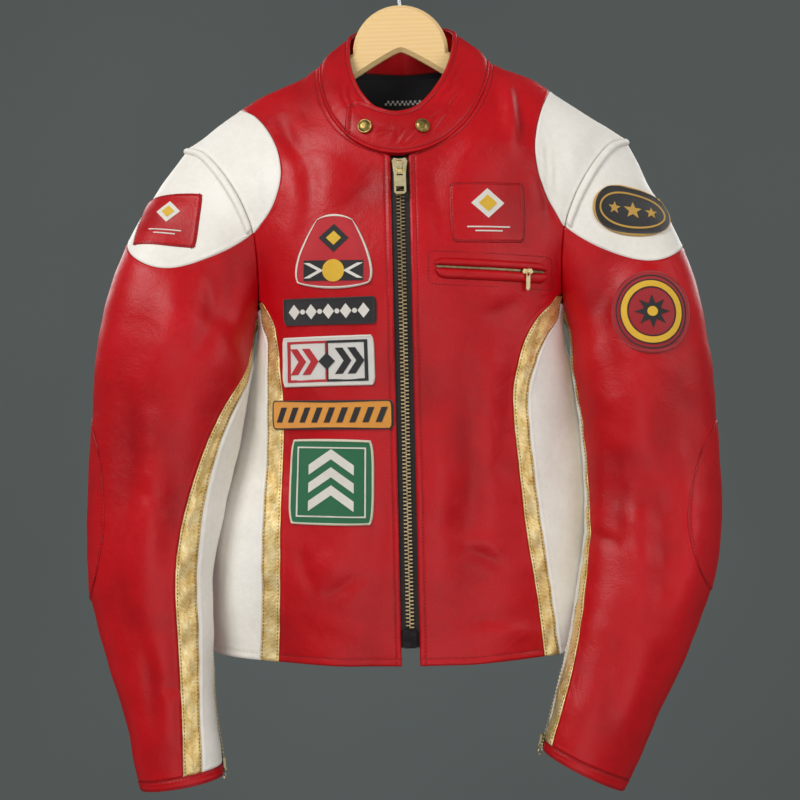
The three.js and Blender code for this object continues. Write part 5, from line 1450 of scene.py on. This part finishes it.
THREAD = {
    # colour: hex colour, slot
    "white": ("#f1ece0", "cloth_white"),
    "black": ("#191719", "cloth_black"),
    "yellow": ("#f2c02e", "cloth_amber"),
    "red": ("#c31c26", "cloth_scarlet"),
    "gold": ("#d3a548", "cloth_amber"),
}
SATIN = {key: embroidered(f"{key}_satin_stitch", tint, tint) for key, (tint, _) in THREAD.items()}
LOW, HIGH = 2.15, 2.6
LEATHER_LOW, LEATHER_HIGH = 1.7, 2.1
MOTIFS = [
    # name, patch, outlines, thread, layer, hole
    ("badge_band", "badge", [bar(0, -19, 60, 20)], "black", LOW, None),
    ("badge_chevrons", "badge", [chevron(20, -19, -20, 15, -6) * [k, 1] for k in (-1, 1)], "white", HIGH,
     None),
    ("badge_disc", "badge", [oval(0, -19, 22, 22)], "yellow", HIGH, None),
    ("badge_lozenge", "badge", [oval(0, 13, 30, 28, 4)], "black", LOW, None),
    ("badge_core", "badge", [oval(0, 13, 15, 14, 4)], "yellow", HIGH, None),
    ("black_lozenges", "black_bar", [oval(x, 0, 12, 15, 4) for x in range(-36, 37, 18)], "white", LOW, None),
    ("black_dots", "black_bar", [oval(x, 0, 5, 5, 20) for x in range(-27, 28, 18)], "white", LOW, None),
    ("white_frame_red", "white_bar", [bar(-21, 0, 42, 41)], "red", LOW, bar(-20, 0, 37, 36)),
    ("white_frame_black", "white_bar", [bar(21, 0, 42, 41)], "black", LOW, bar(20, 0, 37, 36)),
    ("white_red_arrows", "white_bar", [chevron(x, 0, 17, 26, 8) for x in (-30, -17)], "red", LOW, None),
    ("white_black_arrows", "white_bar", [chevron(x, 0, 17, 26, 8) for x in (17, 30)], "black", LOW, None),
    ("white_lozenge", "white_bar", [oval(0, 0, 17, 17, 4)], "black", HIGH, None),
    ("yellow_slants", "yellow_bar", [slant(x, 0, 6, 15, 6) for x in range(-52, 53, 13)], "black", LOW, None),
    ("green_frame", "green", [bar(0, 0, 70, 70)], "white", LOW, bar(0, 0, 67, 67)),
    ("green_arrows", "green", [rise(0, y, 46, 26, 10) for y in (-16, 2, 20)], "white", LOW, None),
    ("chest_lozenge", "chest", [oval(0, 9, 34, 30, 4)], "white", LEATHER_LOW, None),
    ("chest_core", "chest", [oval(0, 9, 19, 17, 4)], "yellow", LEATHER_HIGH, None),
    ("chest_bars", "chest", [bar(0, -15, 44, 1.3), bar(0, -19, 28, 1.3)], "white", LEATHER_LOW, None),
    ("square_lozenge", "arm_square", [oval(0, 8, 26, 24, 4)], "white", LEATHER_LOW, None),
    ("square_core", "arm_square", [oval(0, 8, 14, 13, 4)], "yellow", LEATHER_HIGH, None),
    ("square_bars", "arm_square", [bar(0, -13, 34, 1.2), bar(0, -17, 22, 1.2)], "white", LEATHER_LOW, None),
    ("oval_ring", "arm_oval", [oval(0, 0, 75, 41, 60)], "gold", LOW, oval(0, 0, 71, 37, 60)),
    ("oval_stars", "arm_oval", [star(x, 0, r) for x, r in ((-20, 7), (0, 10), (20, 7))], "gold", LOW, None),
    ("round_ring", "arm_round", [oval(0, 0, 71, 75, 60)], "black", LOW, oval(0, 0, 68.5, 72.5, 60)),
    ("round_outer", "arm_round", [oval(0, 0, 63, 66, 60)], "black", LOW, oval(0, 0, 61, 64, 60)),
    ("round_gold", "arm_round", [oval(0, 0, 60, 63, 60)], "yellow", LOW, oval(0, 0, 48, 51, 60)),
    ("round_inner", "arm_round", [oval(0, 0, 47, 50, 60)], "black", LOW, oval(0, 0, 45, 48, 60)),
    ("round_star", "arm_round", [star(0, 0, 17, 8, 0.5)], "black", LOW, None),
    ("round_core", "arm_round", [oval(0, 0, 10, 10, 20)], "yellow", HIGH, None),
]
for name, patch_name, outlines, colour, layer, hole in MOTIFS:
    satin(f"stitched_{name}", patch_name, outlines, SATIN[colour], layer, hole)

# Hanger: a varnished board of pale wood, with a bent wire hook screwed into its top.
pale_wood, tree, shader = finish("varnished_pale_beech")
place = spot_of(tree)
tilt = {"Scale": (0.5, 6, 6), "Rotation": (0, math.radians(8), 0)}
long = node(tree, "ShaderNodeMapping", {0: place, **tilt})
rings = node(tree, "ShaderNodeTexWave", {
    "Vector": long, "Scale": 12, "Distortion": 5, "Detail": 4, "Detail Scale": 1.5,
}, bands_direction="Z").outputs["Fac"]
fibre = noise(tree, node(tree, "ShaderNodeMapping", {0: place, "Scale": (20, 300, 300)}), 3, 5)
feed(tree, shader, {
    "Base Color": scaled(tree, blend(tree, rings, "#f8d497", "#f4cd8d"), spread(tree, fibre, 0.95, 1.04)),
    "Normal": bumped(tree, fibre, 0.08),
    "Roughness": 0.34,
    "Coat Weight": 0.4,
})
machined("hanger_board", pale_wood, 1.6)

wire = cast("bright_plated_wire", "#cfd2d6", "#9fa3a8", 0.24)
WIRE, HOOK_Z = 1.6, -20
r = WIRE - HOOK_Z
path = [
    (-4, -60.7), (-4, -50), (0.3 * r, HOOK_Z - r), (0.82 * r, -34), (r, HOOK_Z),
    (0.71 * r, 0.71 * r + HOOK_Z), (0, WIRE), (-0.71 * r, 0.71 * r + HOOK_Z), (-r, HOOK_Z), (-0.88 * r, -30),
]
curve = bpy.data.curves.new("hook_path", "CURVE")
curve.dimensions = "3D"
spline = curve.splines.new("BEZIER")
spline.bezier_points.add(len(path) - 1)
for bend, (x, z) in zip(spline.bezier_points, path):
    bend.co = (x * MM, 0, z * MM)
    bend.handle_left_type = bend.handle_right_type = "AUTO"
curve.bevel_depth = WIRE * MM
curve.bevel_resolution = 5
curve.use_fill_caps = True
bent = placed("hook_path", curve)
shaped = bent.evaluated_get(bpy.context.evaluated_depsgraph_get())
hook = placed("wire_hook", bpy.data.meshes.new_from_object(shaped))
bpy.data.objects.remove(bent)
hook.data.materials.append(wire)
hook.data.polygons.foreach_set("use_smooth", np.ones(len(hook.data.polygons), bool))
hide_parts("hanger_hook")
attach(hook, "jacket")

# Topstitching: bonded polyester thread at about seven stitches to the inch, matched to the leather in hue.
def thread(name, colour):
    material, tree, shader = finish(name)
    lit = spread(tree, noise(tree, spot_of(tree), 1500, 2), 0.7, 1.2)
    feed(tree, shader, {"Base Color": scaled(tree, to_linear(colour)[:3], lit), "Roughness": 0.6})
    return material


# Each thread is darker than the leather it sits on: painted shade of its stitch holes and groove.
BONDED = {
    # colour: thread, slot
    "red": (thread("red_bonded_thread", "#6e0810"), "red_leather"),
    "white": (thread("white_bonded_thread", "#d8d2c4"), "white_leather"),
    "gold": (thread("brown_bonded_thread", "#6d4f22"), "gold_foil"),
}
THREAD_RISE = 0.3
sewn_lines = {colour: [] for colour in BONDED}
for node_name, lines in SEWN.items():
    colour = "gold" if "stripe" in node_name else "white" if "side" in node_name else "red"
    for line in lines:
        line = line.copy()
        line[:, :3] += THREAD_RISE * line[:, 3:]
        sewn_lines[colour].append(line)
for colour, (material, slot) in BONDED.items():
    row(f"topstitching_{colour}", "thread", sewn_lines[colour], 3.6, (2.5, 0.9, 0.6), material, slot)

# Stage: a grey-green wall behind, and broad soft light from the front.
wall_paint, tree, shader = finish("matt_wall_paint")
cloud = noise(tree, spot_of(tree), 0.8, 3)
feed(tree, shader, {"Base Color": blend(tree, cloud, "#6f7776", "#79817f"), "Roughness": 0.9})
wall_mesh = bpy.data.meshes.new("backdrop")
WALL_Y, WALL_HALF = 3, 9
corners = [(x * WALL_HALF, WALL_Y, z * WALL_HALF) for x, z in ((-1, -1), (1, -1), (1, 1), (-1, 1))]
wall_mesh.from_pydata(corners, [], [(0, 1, 2, 3)])
wall_mesh.materials.append(wall_paint)
backdrop = placed("backdrop", wall_mesh)

LIGHTS = [
    # name, place, aim, size, power
    ("key", (-1.2, -1.5, 0.9), (0, 0, -0.35), 1.0, 31),
    ("fill", (1.7, -1.5, 0.3), (0.05, 0, -0.45), 1.3, 12),
    ("low", (0.1, -2.2, -1.0), (0, 0, -0.5), 1.5, 10),
    ("behind_right", (-1.6, 1.5, 0.6), (0, 0, -0.45), 1.3, 15),
    ("behind_left", (1.6, 1.5, 0.6), (0, 0, -0.45), 1.3, 19),
]
for name, place, aim, size, power in LIGHTS:
    lamp = bpy.data.lights.new(name, "AREA")
    lamp.size = size
    lamp.energy = power
    light = placed(name, lamp)
    light.location = place
    light.rotation_euler = (Vector(aim) - Vector(place)).to_track_quat("-Z", "Y").to_euler()
world = bpy.data.worlds.new("studio")
world.use_nodes = True
feed(world.node_tree, world.node_tree.nodes["Background"], {"Color": (1, 1, 1, 1), "Strength": 0.26})
bpy.context.scene.world = world
bpy.context.scene.view_settings.view_transform = "Standard"
